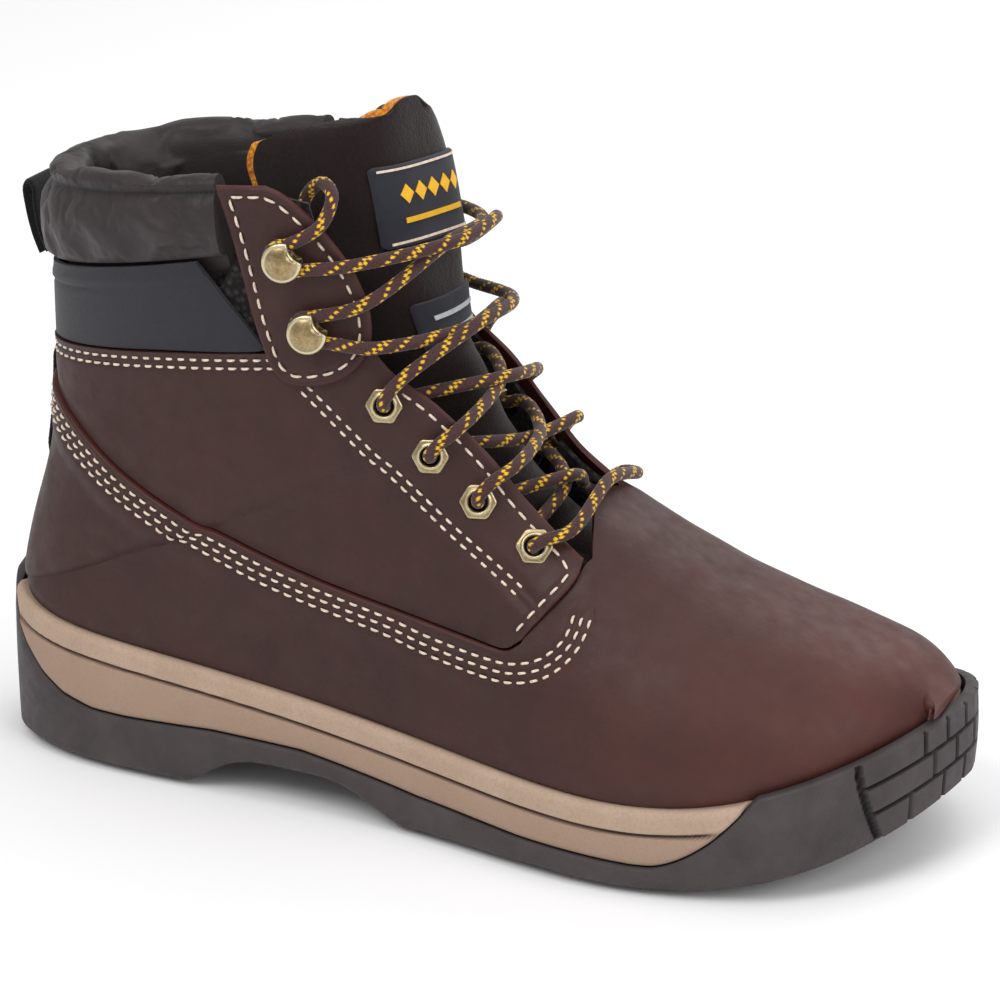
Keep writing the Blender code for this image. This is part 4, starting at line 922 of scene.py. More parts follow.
def midsole():
    n = len(RING)
    low = np.minimum(WALL_TOP + 0.25, FZ - 2.6)
    hidden = smooth(3.4, 1.6, FZ - WALL_TOP)
    inner = np.minimum(OUT - 0.6 - 2.2 * WRAP, OUT - 1.0) - 0.7
    out = (OUT - 0.1) * (1 - hidden) + inner * hidden
    top = FZ - 0.7
    split = FZ - 8.2
    fade = smooth(96, 88, RX)
    levels, groove, band = [], [], []

    def push(lv, g=0.0, b=0.0):
        levels.append(lv)
        groove.append(np.broadcast_to(g, n))
        band.append(np.broadcast_to(b, n))
    push(level(-5.0, low))
    # painted shadow along the foot, where the foam overhangs the outsole
    push(level(out - 1.6, low), 0.8)
    rows = 50
    for k in range(rows + 1):
        share = k / rows
        z = (low + 0.15) * (1 - share) + top * share
        h = top - low
        line = bar(z - split, 1.0, 0.5) * fade * smooth(2.0, 5.0, h)
        above = smooth(-0.4, 0.4, z - split)
        foot = np.clip((z - low) / 2.2, 0, 1)
        head = np.clip((top - z) / 2.6, 0, 1)
        belly = 0.5 * np.sin(np.pi * np.clip((z - low) / np.maximum(split - low, 3.0), 0, 1)) * (1 - above)
        off = out + belly - 1.3 * (1 - np.sqrt(1 - (1 - foot) ** 2)) \
            - 1.7 * (1 - np.sqrt(1 - (1 - head) ** 2)) - 0.95 * line
        # painted shade in the band groove and a painted shadow line along the foot
        push(level(np.minimum(off, out + 0.6), z),
             np.clip(line + 0.7 * (1 - smooth(0, 0.35, foot)), 0, 1), above)
    # painted shade at the top rim, in the gap under the upper
    push(level(out - 2.6, top + 0.05), 0.3, 1)
    push(level(-2.2, top), 0, 1)
    push(level(-3.0, FZ - 12.0), 0, 1)
    push(level(-8.0, FZ - 13.0), 0, 1)
    return loops("midsole_foam", levels, "tan_foam", plain_cap, plain_cap,
                 "tan_foam", ["midsole"], {"groove": groove, "band": band})


def footbed():
    floor = FZ - 13.0
    levels = [level(off, floor + up) for off, up in (
        (-8.5, 3.0), (-6.2, 4.0), (-5.7, 7.5), (-6.0, 9.6), (-7.2, 10.2), (-9.0, 9.4), (-13.0, 7.6))]

    def dish(p, t):
        q = p.copy()
        q[..., 2] -= 1.0 * np.sin(np.pi * t)[None] ** 0.7
        return q, p[..., 0] * 0
    obj = loops("footbed_pad", levels, "footbed_cover", plain_cap, dish, "foam", ["footbed"], {})


outsole()
midsole()
footbed()


# ---- leather panels ---------------------------------------------------------------------
SEAM_LINE = catmull(SEAM[:-1] + ((26.5, 61.6), (30, 64)), 160)
TAB_LINE = catmull(TAB, 40)
FACING_LINE = catmull(FACING, 120)
BAND_LOW_LINE = catmull(BAND_LOW, 120)
SEAM_TURN = catmull(SEAM[:-2] + ((0, 64.2), (18, 61.2), (28, 60.9), (35.5, 63.4), (40.5, 68.5),
                                 (41.5, 74)), 240)
VAMP_ROWS = [offset(SEAM_TURN, -d) for d in (2.8, 5.3, 7.8)]
FACING_ROWS = [offset(catmull(((-41, 131), (-19, 111.5), (6, 91), (34, 72.5)), 80), d)
               for d in (1.25, -1.25)]
FACING_EDGE_ROW = np.concatenate([offset(catmull(FACING[1:-1] + ((41, 87),), 90), -3.0)[:-4],
                                  offset(catmull(TAB, 40), 3.0)[::-1][5:-1]])
BAND_ROWS = [offset(catmull(BAND_LOW[:-1] + ((-49, 140.2),), 90), -d) for d in (2.0, 4.5)]
FLAP_BACK = catmull(((-65, 189.5), (-62.6, 182), (-60.6, 175), (-57.6, 163), (-54.8, 151),
                     (-52, 142), (-49, 135.4), (-44.5, 131.9), (-38.5, 131.5)), 90)
FLAP_FRONT = catmull(((-51, 190.3), (-46.5, 188.3), (-40, 182.6), (-32.5, 173.6), (-26.2, 163),
                      (-22.6, 152.5), (-22.2, 144), (-24.6, 138.2), (-30.5, 133.6), (-38.5, 131.5)), 90)
FLAP_RING = np.concatenate([FLAP_BACK, FLAP_FRONT[::-1]])


def flap_row():
    """Stitch line 3 mm inside the flap's edge."""
    ring = resample(np.concatenate([FLAP_RING, FLAP_RING[:1]]), 240)[:-1]
    centre = np.array((-44.0, 160.0))
    d = np.roll(ring, -3, 0) - np.roll(ring, 3, 0)
    n = unit(np.stack([-d[:, 1], d[:, 0]], -1))
    n *= np.sign(((centre - ring) * n).sum(-1, keepdims=True))
    row = ring + n * 3.0
    keep = distance(row, np.concatenate([FLAP_RING, FLAP_RING[:1]])) > 2.85
    row = row[keep]
    return np.concatenate([row, row[:1]])


FLAP_ROW = flap_row()


def vamp():
    sheets = []
    for side in (-1, 1):
        seam = place(resample(SEAM_LINE, 150, 1.15), side)
        seam[0] = (seam[0, 0], 0.0)
        tab = place(catmull(TAB + ((46.5, 87.2),), 26), side)
        k = np.arange(1, 13)[:, None] / 12.0
        end = tab[-1] + np.array([[-0.048, 1 - tab[-1, 1]]]) * k
        ridge = np.stack([end[-1, 0] + (1 - end[-1, 0]) * np.linspace(0, 1, 90)[1:], np.ones(89)], -1)
        top = np.concatenate([seam, tab[1:], end, ridge])
        m = 25 + 12
        foot_u = np.concatenate([U_HEEL + (0.700 - U_HEEL) * np.linspace(0, 1, 150) ** 1.15,
                                 np.linspace(0.700, 0.775, m + 1)[1:], np.linspace(0.775, 1.0, 90)[1:]])
        foot = np.stack([foot_u, np.full(len(foot_u), 0.0)], -1)
        over = np.maximum(smooth(130, 180, np.arange(len(top))), smooth(60, 20, np.arange(len(top))))
        t = np.concatenate([np.linspace(0, 0.72, 26)[:-1], np.linspace(0.72, 0.985, 26)[:-1],
                            1 - 0.015 * (1 - np.linspace(0, 1, 6)) ** 1.5])
        us = between(foot, top, t, side, over)
        p, nrm = laid(us, side)
        xz = side_view(p)
        d_seam = distance(xz, SEAM_LINE)
        d_edge = np.minimum(d_seam, np.where(p[..., 0] > 44, distance(xz, TAB_LINE[-1:].repeat(2, 0)), 99))
        lift = VAMP_LIFT * (1 - smooth(5, 15, d_seam)) * (1 - smooth(28, 38, p[..., 0]))
        cover = 0.35 * (1 - smooth(0.5, 4.0, distance(xz, TAB_LINE))) * smooth(26, 34, p[..., 0])
        puff = 0.28 * np.sin(np.clip((d_seam - 8.6) / 6.0, 0, 1) * math.pi) * (1 - smooth(26, 34, p[..., 0]))
        hi = QUARTER_TOP + lift + puff - cover - pressed(xz, VAMP_ROWS, 0.42) \
            + ripple(p) * smooth(3, 25, d_seam)
        hi = hi - rolled(d_edge, 0.9) * (1 - smooth(30, 33, p[..., 0]))
        hi = np.where(us[..., 1] < 0.004, QUARTER_TOP, hi)
        hi = hi * (1 - smooth(0.985, 1.0, us[..., 0])) + QUARTER_TOP * smooth(0.985, 1.0, us[..., 0])
        edge = np.exp(-d_edge / 0.5) * (1 - smooth(30, 33, p[..., 0]))
        p[:, 0, 1] = side * 0.45
        p[:, -1, 1] = RIDGE_Y[-1]
        tip = smooth(0.94, 0.998, us[..., 0])[..., None]
        nrm = unit(nrm * (1 - tip) + unit(np.array((0.95, 0.0, 0.31))) * tip)
        sheets.append((p, nrm, np.full(p.shape[:2], GAP), hi, side > 0, edge))
    skin("vamp_leather", sheets, "oiled_leather", slot="oiled_leather", replaces=["vamp"])


def quarter(side, word):
    low = np.concatenate([place(resample(offset(SEAM_LINE, 0.5), 150, 1.15), side),
                          place(catmull(offset(TAB_LINE, 0.3)[::4], 36), side)[1:-1]])
    low[0] = (low[0, 0] - 0.004, 0.0)
    n = len(low)
    facing = place(resample(np.concatenate([FACING_LINE[:-3], [(42.4, 85.9)]]), n - 96), side)
    top = np.concatenate([place(resample(BAND_LOW_LINE, 97, 1.15), side), facing[1:]])
    top[0] = (top[0, 0], 0.0)
    us = between(low, top, steps(66, 6, 0.02), side)
    p, nrm = laid(us, side)
    xz = side_view(p)
    d_tab = distance(xz, TAB_LINE)
    d_face = distance(xz, FACING_LINE)
    d_edge = np.minimum(d_tab, d_face)
    d_seam = distance(xz, SEAM_LINE)
    lift = 1.25 * (1 - smooth(4, 14, d_tab))
    sunk = 0.5 * (1 - smooth(0.5, 6.0, d_seam)) * (1 - smooth(12, 24, p[..., 0]))
    under = 0.25 * (1 - smooth(0.5, 3.0, distance(xz, BAND_LOW_LINE)))
    hi = QUARTER_TOP + lift - sunk + under - rolled(d_edge, 0.9) + ripple(p) * smooth(2, 20, d_seam)
    rows = FACING_ROWS + [FACING_EDGE_ROW] + BAND_ROWS
    hi = hi - pressed(xz, rows, 0.38)
    between_rows = distance(xz, (FACING_ROWS[0] + FACING_ROWS[1]) / 2)
    hi = hi + 0.22 * np.exp(-((between_rows - 4.2) / 1.6) ** 2)
    edge = np.exp(-d_edge / 0.55)
    p[:, 0, 1] = side * 0.45
    holes = [(on_form([e], side)[0][0], 4.15) for e in EYELETS]
    skin("quarter_leather_" + word, [(p, nrm, np.full(p.shape[:2], GAP), hi, side > 0, edge)],
         "oiled_leather", holes=holes, slot="oiled_leather", replaces=["quarter_" + word])


def hook_flap(side, word):
    back = place(FLAP_BACK[:-1], side)
    front = place(FLAP_FRONT[:-1], side)
    us = between(back, front, steps(46, 6, 0.03), side)
    p, nrm = laid(us, side)
    xz = side_view(p)
    ring = np.concatenate([FLAP_RING, FLAP_RING[:1]])
    d = distance(xz, ring)
    hi = FLAP_TOP + 0.25 - rolled(d, 0.9) - pressed(xz, [FLAP_ROW], 0.42) + ripple(p) * 0.7
    hi = hi + 0.25 * np.exp(-((d - 1.4) / 0.9) ** 2)
    lo = np.full(p.shape[:2], GAP * 2 + LEATHER)
    skin("hook_flap_leather_" + word, [(p, nrm, lo, hi, side < 0, np.exp(-d / 0.55))], "oiled_leather",
         slot="oiled_leather", replaces=["hook_flap_" + word])


def band():
    sheets = []
    for side in (-1, 1):
        foot = catmull(BAND_LOW[:-1] + ((-52.0, 140.4),), 80)
        low = place(resample([(x, z + 0.5) for x, z in foot], 110, 1.1), side)
        high = np.stack([np.full(110, 0.0712), 0.50 * np.linspace(0, 1, 110) ** 1.1], -1)
        low[0, 1] = high[0, 1] = 0.0
        us = between(low, high, steps(26, 4, 0.03), side)
        p, nrm = laid(us, side)
        xz = side_view(p)
        d = distance(xz, side_view(form(low[:, 0], low[:, 1], side)))
        upper = distance(xz, side_view(form(high[:, 0], high[:, 1], side)))
        hi = GAP + 1.7 - rolled(d, 0.7) + 0.5 * np.exp(-((upper - 4.0) / 1.5) ** 2) \
            - 0.5 * np.exp(-((upper - 5.9) / 0.6) ** 2)
        p[:, 0, 1] = 0.0
        sheets.append((p, nrm, np.full(p.shape[:2], GAP), hi, side > 0, 0.0))
    skin("collar_band_woven", sheets, "black_band", slot="black_band", replaces=["collar_band"])


vamp()
for SIDE, WORD in ((-1, "lateral"), (1, "medial")):
    quarter(SIDE, WORD)
    hook_flap(SIDE, WORD)
band()


# ---- linings ----------------------------------------------------------------------------
def lining(name, node, sheets, holes=()):
    made = []
    for low, high, side, back in sheets:
        t = np.linspace(0, 1, 40)[:, None, None]
        us = low[None] * (1 - t) + high[None] * t
        p, nrm = laid(us, side)
        deep = np.maximum(smooth(90, 97, p[..., 0]),
                          smooth(-52, -64, p[..., 0]) * smooth(116, 106, p[..., 2]))
        hi = -DEPTH_LINING - (1.1 + CAP_STEEL) * deep
        if back:
            p[:, 0, 1] = 0.0
        made.append((p, nrm, hi - LINING, hi, side > 0, 0.0))
    skin(name, made, "mesh_lining", holes=holes, slot="mesh_lining", replaces=[node])


def shaft_lining():
    sheets, holes = [], []
    for side in (-1, 1):
        rim = resample(catmull(((0.100, 0.0), (0.100, 0.50), (0.094, 0.56), (0.060, 0.595),
                                (0.022, 0.625), (0.030, 0.690)), 90), 90, 1.2)
        rim[0, 1] = 0.0
        face = place(catmull(((-36, 170), (-26, 150), (-17.5, 136.5), (-5, 125.5), (8, 113),
                              (15, 106)), 40), side)
        high = np.concatenate([rim, face])
        low = resample(((U_HEEL - 0.020, 0.0), (U_HEEL + 0.02, 0.035), (0.640, 0.040)), len(high), 1.3)
        sheets.append((low, high, side, True))
        holes += [(on_form([e], side, -1.8)[0][0], 5.0) for e in EYELETS]
    lining("quarter_lining_knit", "quarter_lining", sheets, holes)


shaft_lining()
HIDDEN = {"steel_toe_cap": "toe_steel", "toe_cap_edge_strip": "outsole_rubber", "heel_counter": "fibre_board",
          "insole_board": "fibre_board", "vamp_lining": "mesh_lining"}
for NODE, LOOK in HIDDEN.items():
    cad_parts[NODE].data.materials.clear()
    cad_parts[NODE].data.materials.append(LOOKS[LOOK])


# ---- padded collar ----------------------------------------------------------------------
COLLAR_SECTION = ((0.068, -0.6), (0.0675, 1.6), (0.063, 3.5), (0.052, 4.6), (0.036, 4.7), (0.021, 3.9),
                  (0.0125, 2.6), (0.0095, 1.55), (0.0075, 1.75), (0.0045, 2.0), (0.0005, 1.5),
                  (-0.0035, -0.4), (-0.0045, -3.2), (-0.002, -6.0), (0.006, -8.4), (0.022, -9.6),
                  (0.050, -9.8), (0.074, -8.2), (0.088, -5.6), (0.084, -4.0), (0.075, -2.4))
RIM_GROOVE = 7                               # section points 0 to this one are the outer face
COLLAR_END = 0.545


def padded_swell(obj, pinned, pressure, cap, frames=18):
    """Swells a closed cushion by cloth simulation; a point moves at most cap metres."""
    rest = np.array([v.co for v in obj.data.vertices])
    group = obj.vertex_groups.new(name="seams")
    for k, w in enumerate(pinned):
        if w > 0:
            group.add([k], float(w), "REPLACE")
    cloth = obj.modifiers.new("swell", "CLOTH")
    cloth.settings.vertex_group_mass = "seams"
    cloth.settings.use_pressure = True
    cloth.settings.uniform_pressure_force = pressure
    cloth.settings.quality = 6
    cloth.settings.mass = 0.12
    cloth.settings.tension_stiffness = 12
    cloth.settings.compression_stiffness = 12
    cloth.settings.bending_stiffness = 0.8
    cloth.settings.shrink_min = -0.035
    cloth.settings.effector_weights.gravity = 0.0
    cloth.collision_settings.use_collision = False
    scene = bpy.context.scene
    cloth.point_cache.frame_end = frames
    for f in range(1, frames + 1):
        scene.frame_set(f)
    dg = bpy.context.evaluated_depsgraph_get()
    shown = obj.evaluated_get(dg).to_mesh()
    moved = np.array([v.co for v in shown.vertices]) - rest
    obj.evaluated_get(dg).to_mesh_clear()
    obj.modifiers.remove(cloth)
    size = np.linalg.norm(moved, axis=1, keepdims=True)
    moved *= np.minimum(1.0, cap / np.maximum(size, 1e-9))
    obj.data.vertices.foreach_set("co", (rest + moved).astype(np.float32).ravel())
    obj.data.update()
    scene.frame_set(1)


def collar():
    n_s, n_ring = 190, 76
    arc = np.linspace(-1, 1, n_s)
    sec = catmull([(u * 900, d) for u, d in COLLAR_SECTION], n_ring + 1, closed=True)[:-1]
    sec = sec / (900, 1)
    groove_at = np.argmin(np.hypot((sec[:, 0] - COLLAR_SECTION[RIM_GROOVE][0]) * 900,
                                   sec[:, 1] - COLLAR_SECTION[RIM_GROOVE][1]))
    rings, crease_shade, pins = [], [], []
    for a in arc:
        side = -1 if a < 0 else 1
        s = COLLAR_END * abs(a)
        u, d = sec[:, 0], sec[:, 1].copy()
        if abs(a) < 1e-9:
            p, n = form(u, 0.0, -1), np.array([[-1.0, 0.0, 0.0]])
        else:
            p, n = form(u, s, side), normal(u, s, side)
            n = unit(n + np.array([[-1.0, 0.0, 0.0]]) * (1 - smooth(0, 0.05, s)) * 2)
        taper = 1.0 - 0.34 * smooth(0.42, COLLAR_END, s)
        inner = d < 0.9
        seam = math.exp(-(s / 0.012) ** 2)
        dip = 0.5 * math.exp(-((s - 0.20) / 0.06) ** 2) + 0.35 * math.exp(-((s - 0.42) / 0.05) ** 2)
        d = np.where(d < 0, d * taper, d)
        d = d + np.where(inner & (sec[:, 1] < -2), 1.6 * seam, 0.0)
        d = d + np.where(sec[:, 1] > 3, 0.16 * np.sin(s * 60 + u * 90), 0.0)
        rise = np.array([0.0, 0.0, 1.0]) * (-(dip * 1.8) * (sec[:, 1] < 1.5) * (sec[:, 0] < 0.02))[:, None]
        rings.append(p + n * d[:, None] + rise)
        k = np.abs(np.arange(n_ring) - groove_at)
        # painted shade in the rim groove and along the back seam crease
        crease_shade.append(np.clip(np.exp(-(k / 1.1) ** 2) + 0.9 * seam * (sec[:, 1] < -2), 0, 1))
        pin = np.exp(-(k / 1.6) ** 2) + (sec[:, 0] > 0.066) + 0.9 * seam
        pins.append(np.clip(pin + (abs(a) > 0.985), 0, 1))
    verts = np.concatenate(rings)
    faces = grid_faces(n_s, n_ring, around=True)
    faces.append(tuple(range(n_ring))[::-1])
    faces.append(tuple((n_s - 1) * n_ring + k for k in range(n_ring)))
    obj = make("collar_pad", verts, faces, "collar_fabric", slot="collar_fabric", replaces=["collar"],
               marks={"crease_shade": np.concatenate(crease_shade)}, sharp=60)
    padded_swell(obj, np.concatenate(pins), 3.0, 1.4 * MM)


collar()


# ---- tongue -----------------------------------------------------------------------------
TONGUE_KNOTS = (-0.062, -0.058, -0.048, -0.03, 0.0, 0.12, 0.22, 0.30, 0.50, 0.632)
TONGUE_HALF = (9.0, 15.0, 21.5, 26.2, 27.8, 26.7, 23.8, 22.5, 20.5, 16.0)
TONGUE_BACKSET = (8, 19, 31, 39, 43, 38, 30, 27, 21, 12)
TONGUE_TWIST = 0.30                          # the top of the tongue is turned to the outer side
TONGUE_FLAT = 0.5                            # and flatter across than lower down
TONGUE_END = -0.060
RIDGE_LENGTH = 300                           # millimetres along the ridge for a step of 1 in u


def tongue_grid(u, share, trim, depth):
    """Tongue surface at rib u, share -1 to 1 across, trimmed in from its edge and sunk by depth."""
    half = np.interp(u, TONGUE_KNOTS, TONGUE_HALF)
    back = np.interp(u, TONGUE_KNOTS, TONGUE_BACKSET)
    for _ in range(2):
        half = np.convolve(np.pad(half, 2, "edge"), np.ones(5) / 5, "valid")
        back = np.convolve(np.pad(back, 2, "edge"), np.ones(5) / 5, "valid")
    xb, zb, xt, zt = chord(u)
    d = unit(np.stack([xb - xt, np.zeros_like(xb), zb - zt], -1))
    top = form(u, np.ones_like(u), -1) * (1, 0, 1) + d * (TONGUE_SINK * smooth(0.03, 0.20, u))[:, None]
    phi = share[None] * (np.pi / 2) * (1 - trim / half)[:, None]
    upper = 1 - smooth(0.10, 0.26, u)[:, None]
    bow = back[:, None] * (1 - np.cos(phi)) ** (1 + TONGUE_FLAT * upper)
    p = top[:, None] + d[:, None] * bow[..., None]
    p[..., 1] = half[:, None] * np.sin(phi)
    p[..., 0] += TONGUE_TWIST * upper * p[..., 1]
    n = np.cross(np.gradient(p, axis=0), np.gradient(p, axis=1))
    n = unit(n)
    n *= np.sign((n * -d[:, None]).sum(-1).mean())
    return p - n * np.asarray(depth, float)[..., None], n


def tongue_us(n, m):
    lead = np.linspace(0, 1, 24) ** 1.5
    u = np.concatenate([TONGUE_END + 0.05 * lead[:-1], np.linspace(TONGUE_END + 0.05, 0.632, n)])
    x = np.linspace(-1, 1, m)
    return u, np.sign(x) * (1 - (1 - np.abs(x)) ** 1.25)


def end_taper(u, share, reach):
    """Thickness share falling to nothing at the tongue's rounded rim."""
    top = np.clip((u - TONGUE_END) / reach, 0, 1)[:, None]
    edge = np.clip((1 - np.abs(share)) / 0.10, 0, 1)[None]
    x = np.minimum(top, edge)
    return np.sqrt(np.clip(1 - (1 - x) ** 2, 0, 1))


def closed_pair(front, back):
    rows, cols = front.shape[:2]
    n = rows * cols
    verts = np.concatenate([front.reshape(-1, 3), back.reshape(-1, 3)])
    faces = grid_faces(rows, cols) + grid_faces(rows, cols, n, True)
    rim = [r * cols for r in range(rows)] + [(rows - 1) * cols + c for c in range(1, cols)] \
        + [r * cols + cols - 1 for r in range(rows - 2, -1, -1)] + list(range(cols - 2, 0, -1))
    for a, b in zip(rim, rim[1:] + rim[:1]):
        faces.append((a, b, b + n, a + n))
    return verts, faces


def tongue():
    u, share = tongue_us(150, 84)
    pads = 0.5 + 0.5 * np.cos(2 * np.pi * np.clip((u - 0.02) / 0.30, 0, 1))[:, None] * np.ones((1, len(share)))
    swell = 0.5 * np.sin(u * 46)[:, None] * np.cos(share * 1.4)[None] + 0.3 * pads
    uneven = 0.35 * np.sin(u * 71 + 1.0)[:, None] * np.sin(share * 3.1 + 0.5)[None]
    out = end_taper(u, share, 0.010)
    face_front, _ = tongue_grid(u, share, 0.9, TONGUE_TOP - 0.6 * swell - 0.4 * uneven)
    face_back, _ = tongue_grid(u, share, 0.9, TONGUE_TOP + TONGUE_FACE * np.maximum(out, 0.55))
    verts, faces = closed_pair(face_front, face_back)
    make("tongue_suede", verts, faces, "tongue_suede", slot="tongue_suede", body="tongue",
         replaces=["tongue_face"], sharp=60)
    pad_front, _ = tongue_grid(u, share, 0.0,
                               TONGUE_TOP + TONGUE_FACE + 0.12 + (1 - out) * TONGUE_PAD * 0.10)
    pad_back, _ = tongue_grid(u, share, 0.0,
                              TONGUE_TOP + TONGUE_FACE + 0.6 + TONGUE_PAD * (0.25 + 0.75 * out) - 0.4 * swell)
    verts, faces = closed_pair(pad_front, pad_back)
    pad = make("tongue_terry_pad", verts, faces, "tongue_lining", slot="tongue_lining", body="tongue",
               replaces=["tongue_foam", "tongue_lining"], sharp=60)


def tongue_patch(name, look, slot, u0, u1, half, raise_low, raise_high, replaces=(), corner=1.6):
    """Flat piece sewn on the tongue, half wide in millimetres, with rounded corners."""
    n, m = 40, 44
    u = np.linspace(u0, u1, n)
    x = np.linspace(-1, 1, m)
    w = np.interp(u, TONGUE_KNOTS, TONGUE_HALF)
    reach = np.arcsin(np.clip(half / w, -1, 1)) / (np.pi / 2)
    from_end = np.minimum(u - u0, u1 - u) * RIDGE_LENGTH
    arc = corner - np.sqrt(np.clip(corner ** 2 - (corner - from_end) ** 2, 0, None))
    pull = np.where(from_end < corner, arc, 0)
    reach = reach * (1 - pull / half)
    pts, nrm = [], []
    full, norms = tongue_grid(np.linspace(u0 - 0.03, u1 + 0.03, n + 20), np.linspace(-1, 1, 161), 0.0, 0.0)
    uu = np.linspace(u0 - 0.03, u1 + 0.03, n + 20)
    ss = np.linspace(-1, 1, 161)
    for i in range(n):
        k = np.searchsorted(uu, u[i]) - 1
        f = (u[i] - uu[k]) / (uu[k + 1] - uu[k])
        row = full[k] * (1 - f) + full[k + 1] * f
        nor = norms[k] * (1 - f) + norms[k + 1] * f
        s = x * reach[i]
        pts.append(np.stack([np.interp(s, ss, row[:, c]) for c in range(3)], -1))
        nrm.append(np.stack([np.interp(s, ss, nor[:, c]) for c in range(3)], -1))
    p, nn = np.array(pts), unit(np.array(nrm))
    edge = np.minimum((1 - np.abs(x))[None] * half, from_end[:, None])
    drop = rolled(edge, min(0.7, (raise_high - raise_low) * 0.6))
    verts, faces = closed_pair(p + nn * (raise_high - TONGUE_TOP - drop)[..., None],
                               p + nn * (raise_low - TONGUE_TOP))
    return make(name, verts, faces, look, slot=slot, body="tongue", replaces=replaces, sharp=50), p, nn


tongue()
tongue_patch("tongue_label_woven", "label_fabric", "label_fabric", 0.012, 0.104, 19.5, 0.2, 1.9,
             ["tongue_label"])
tongue_patch("tongue_tag_woven", "label_fabric", "label_fabric", 0.165, 0.226, 17.0, 0.0, 1.6,
             ["tongue_tag"])


def woven_marks(name, look, u_mid, shapes, lift, thick=0.35):
    """Raised woven shapes on the tongue; each shape is (across, along, half width, half height, diamond)."""
    verts, faces = [], []
    for across, along, wide, high, diamond in shapes:
        u0 = u_mid + (along - high) / RIDGE_LENGTH
        u1 = u_mid + (along + high) / RIDGE_LENGTH
        u = np.linspace(u0, u1, 9)
        half = np.interp(u_mid, TONGUE_KNOTS, TONGUE_HALF)
        ss = np.linspace(-1, 1, 161)
        full, norms = tongue_grid(u, ss, 0.0, 0.0)
        n, m = 9, 9
        grid = []
        nrm = []
        for i in range(n):
            share = 1 - abs(2 * i / (n - 1) - 1) if diamond else 1.0
            x = (across + wide * max(share, 0.04) * np.linspace(-1, 1, m)) / half
            a = np.arcsin(np.clip(x, -1, 1)) / (np.pi / 2)
            grid.append(np.stack([np.interp(a, ss, full[i][:, c]) for c in range(3)], -1))
            nrm.append(np.stack([np.interp(a, ss, norms[i][:, c]) for c in range(3)], -1))
        p, nn = np.array(grid), unit(np.array(nrm))
        v, f = closed_pair(p + nn * (lift + thick - TONGUE_TOP), p + nn * (lift - 0.5 - TONGUE_TOP))
        base = len(verts)
        verts.extend([tuple(q) for q in np.asarray(v)])
        faces.extend([tuple(i + base for i in g) for g in f])
    make(name, np.array(verts), faces, look, body="tongue", sharp=50)


woven_marks("tongue_label_border", "thread", 0.058,
            [(0.0, -12.4, 17.6, 0.4, False), (0.0, 12.4, 17.6, 0.4, False)], 1.85)
woven_marks("tongue_label_diamonds", "print", 0.058,
            [(x, -3.5, 2.3, 3.4, True) for x in (-10.5, -5.2, 0.0, 5.2, 10.5)]
            + [(0.0, 5.5, 12.5, 0.9, False)], 1.85)
woven_marks("tongue_tag_bars", "print_grey", 0.195,
            [(0.0, -3.0, 11.5, 0.8, False), (0.0, 3.0, 9.0, 0.8, False)], 1.55)


# ---- webbing ------------------------------------------------------------------------------
def tape(name, line, normals, replaces, body, thick=WEB_T):
    """Ribbed webbing along a line in the x-z plane."""
    t = np.concatenate([[0], np.cumsum(np.linalg.norm(np.diff(line, axis=0), axis=1))])
    n = int(t[-1] / 0.30)
    q = np.linspace(0, t[-1], n)
    line = np.stack([np.interp(q, t, line[:, k]) for k in range(3)], -1)
    normals = unit(np.stack([np.interp(q, t, normals[:, k]) for k in range(3)], -1))
    y = np.linspace(-WEB_W / 2, WEB_W / 2, 37)
    rib = 0.5 + 0.5 * np.cos(2 * np.pi * q / 1.5)
    lane = 0.5 + 0.5 * np.cos(2 * np.pi * (y - WEB_W / 2) / (WEB_W / 6))
    weave = rib[:, None] * 0.6 + 0.4 * lane[None]
    sag = 0.35 * np.clip((np.abs(y) - WEB_W / 2 + 0.9) / 0.9, 0, 1) ** 2
    grid = line[:, None] + np.array((0, 1, 0)) * y[None, :, None]
    front = grid + normals[:, None] * (thick / 2 + 0.13 * weave - sag[None])[..., None]
    back = grid - normals[:, None] * (thick / 2 - sag[None] + 0.05 * weave)[..., None]
    verts, faces = closed_pair(front, back)
    # the rib mark also paints shade in the hollows between the cords
    make(name, verts, faces, "black_webbing", slot="black_webbing", body=body, replaces=replaces,
         marks={"rib": np.concatenate([weave.reshape(-1)] * 2)}, sharp=70)


def back_tapes():
    u = np.linspace(0.118, U_HEEL - 0.022, 60)
    p = form(u, np.zeros_like(u), -1)
    q = np.gradient(p, axis=0)
    n = unit(np.stack([q[:, 2], np.zeros_like(u), -q[:, 0]], -1))
    n *= np.where(n[:, :1] > 0, -1, 1)
    z = p[:, 2]
    lift = GAP + LEATHER + 0.5 + (VAMP_LIFT + 0.2) * smooth(124, 118, z) * smooth(84, 90, z) + WEB_T / 2
    tape("back_strip_webbing", p + n * lift[:, None], n, ["back_strip"], "boot")
    loop = catmull([(-140.8, 151.5), (-143.4, 158), (-144.6, 166), (-144.9, 171.0), (-146.4, 173.2),
                    (-147.9, 171.2), (-147.4, 165), (-145.6, 157), (-143.2, 150.8)], 80)
    line = np.stack([loop[:, 0], np.zeros(80), loop[:, 1]], -1)
    t = unit(np.gradient(loop, axis=0))
    tape("heel_pull_loop_webbing", line, np.stack([-t[:, 1], np.zeros(80), t[:, 0]], -1),
         ["heel_pull_loop"], "pull_loop", 1.0)


back_tapes()


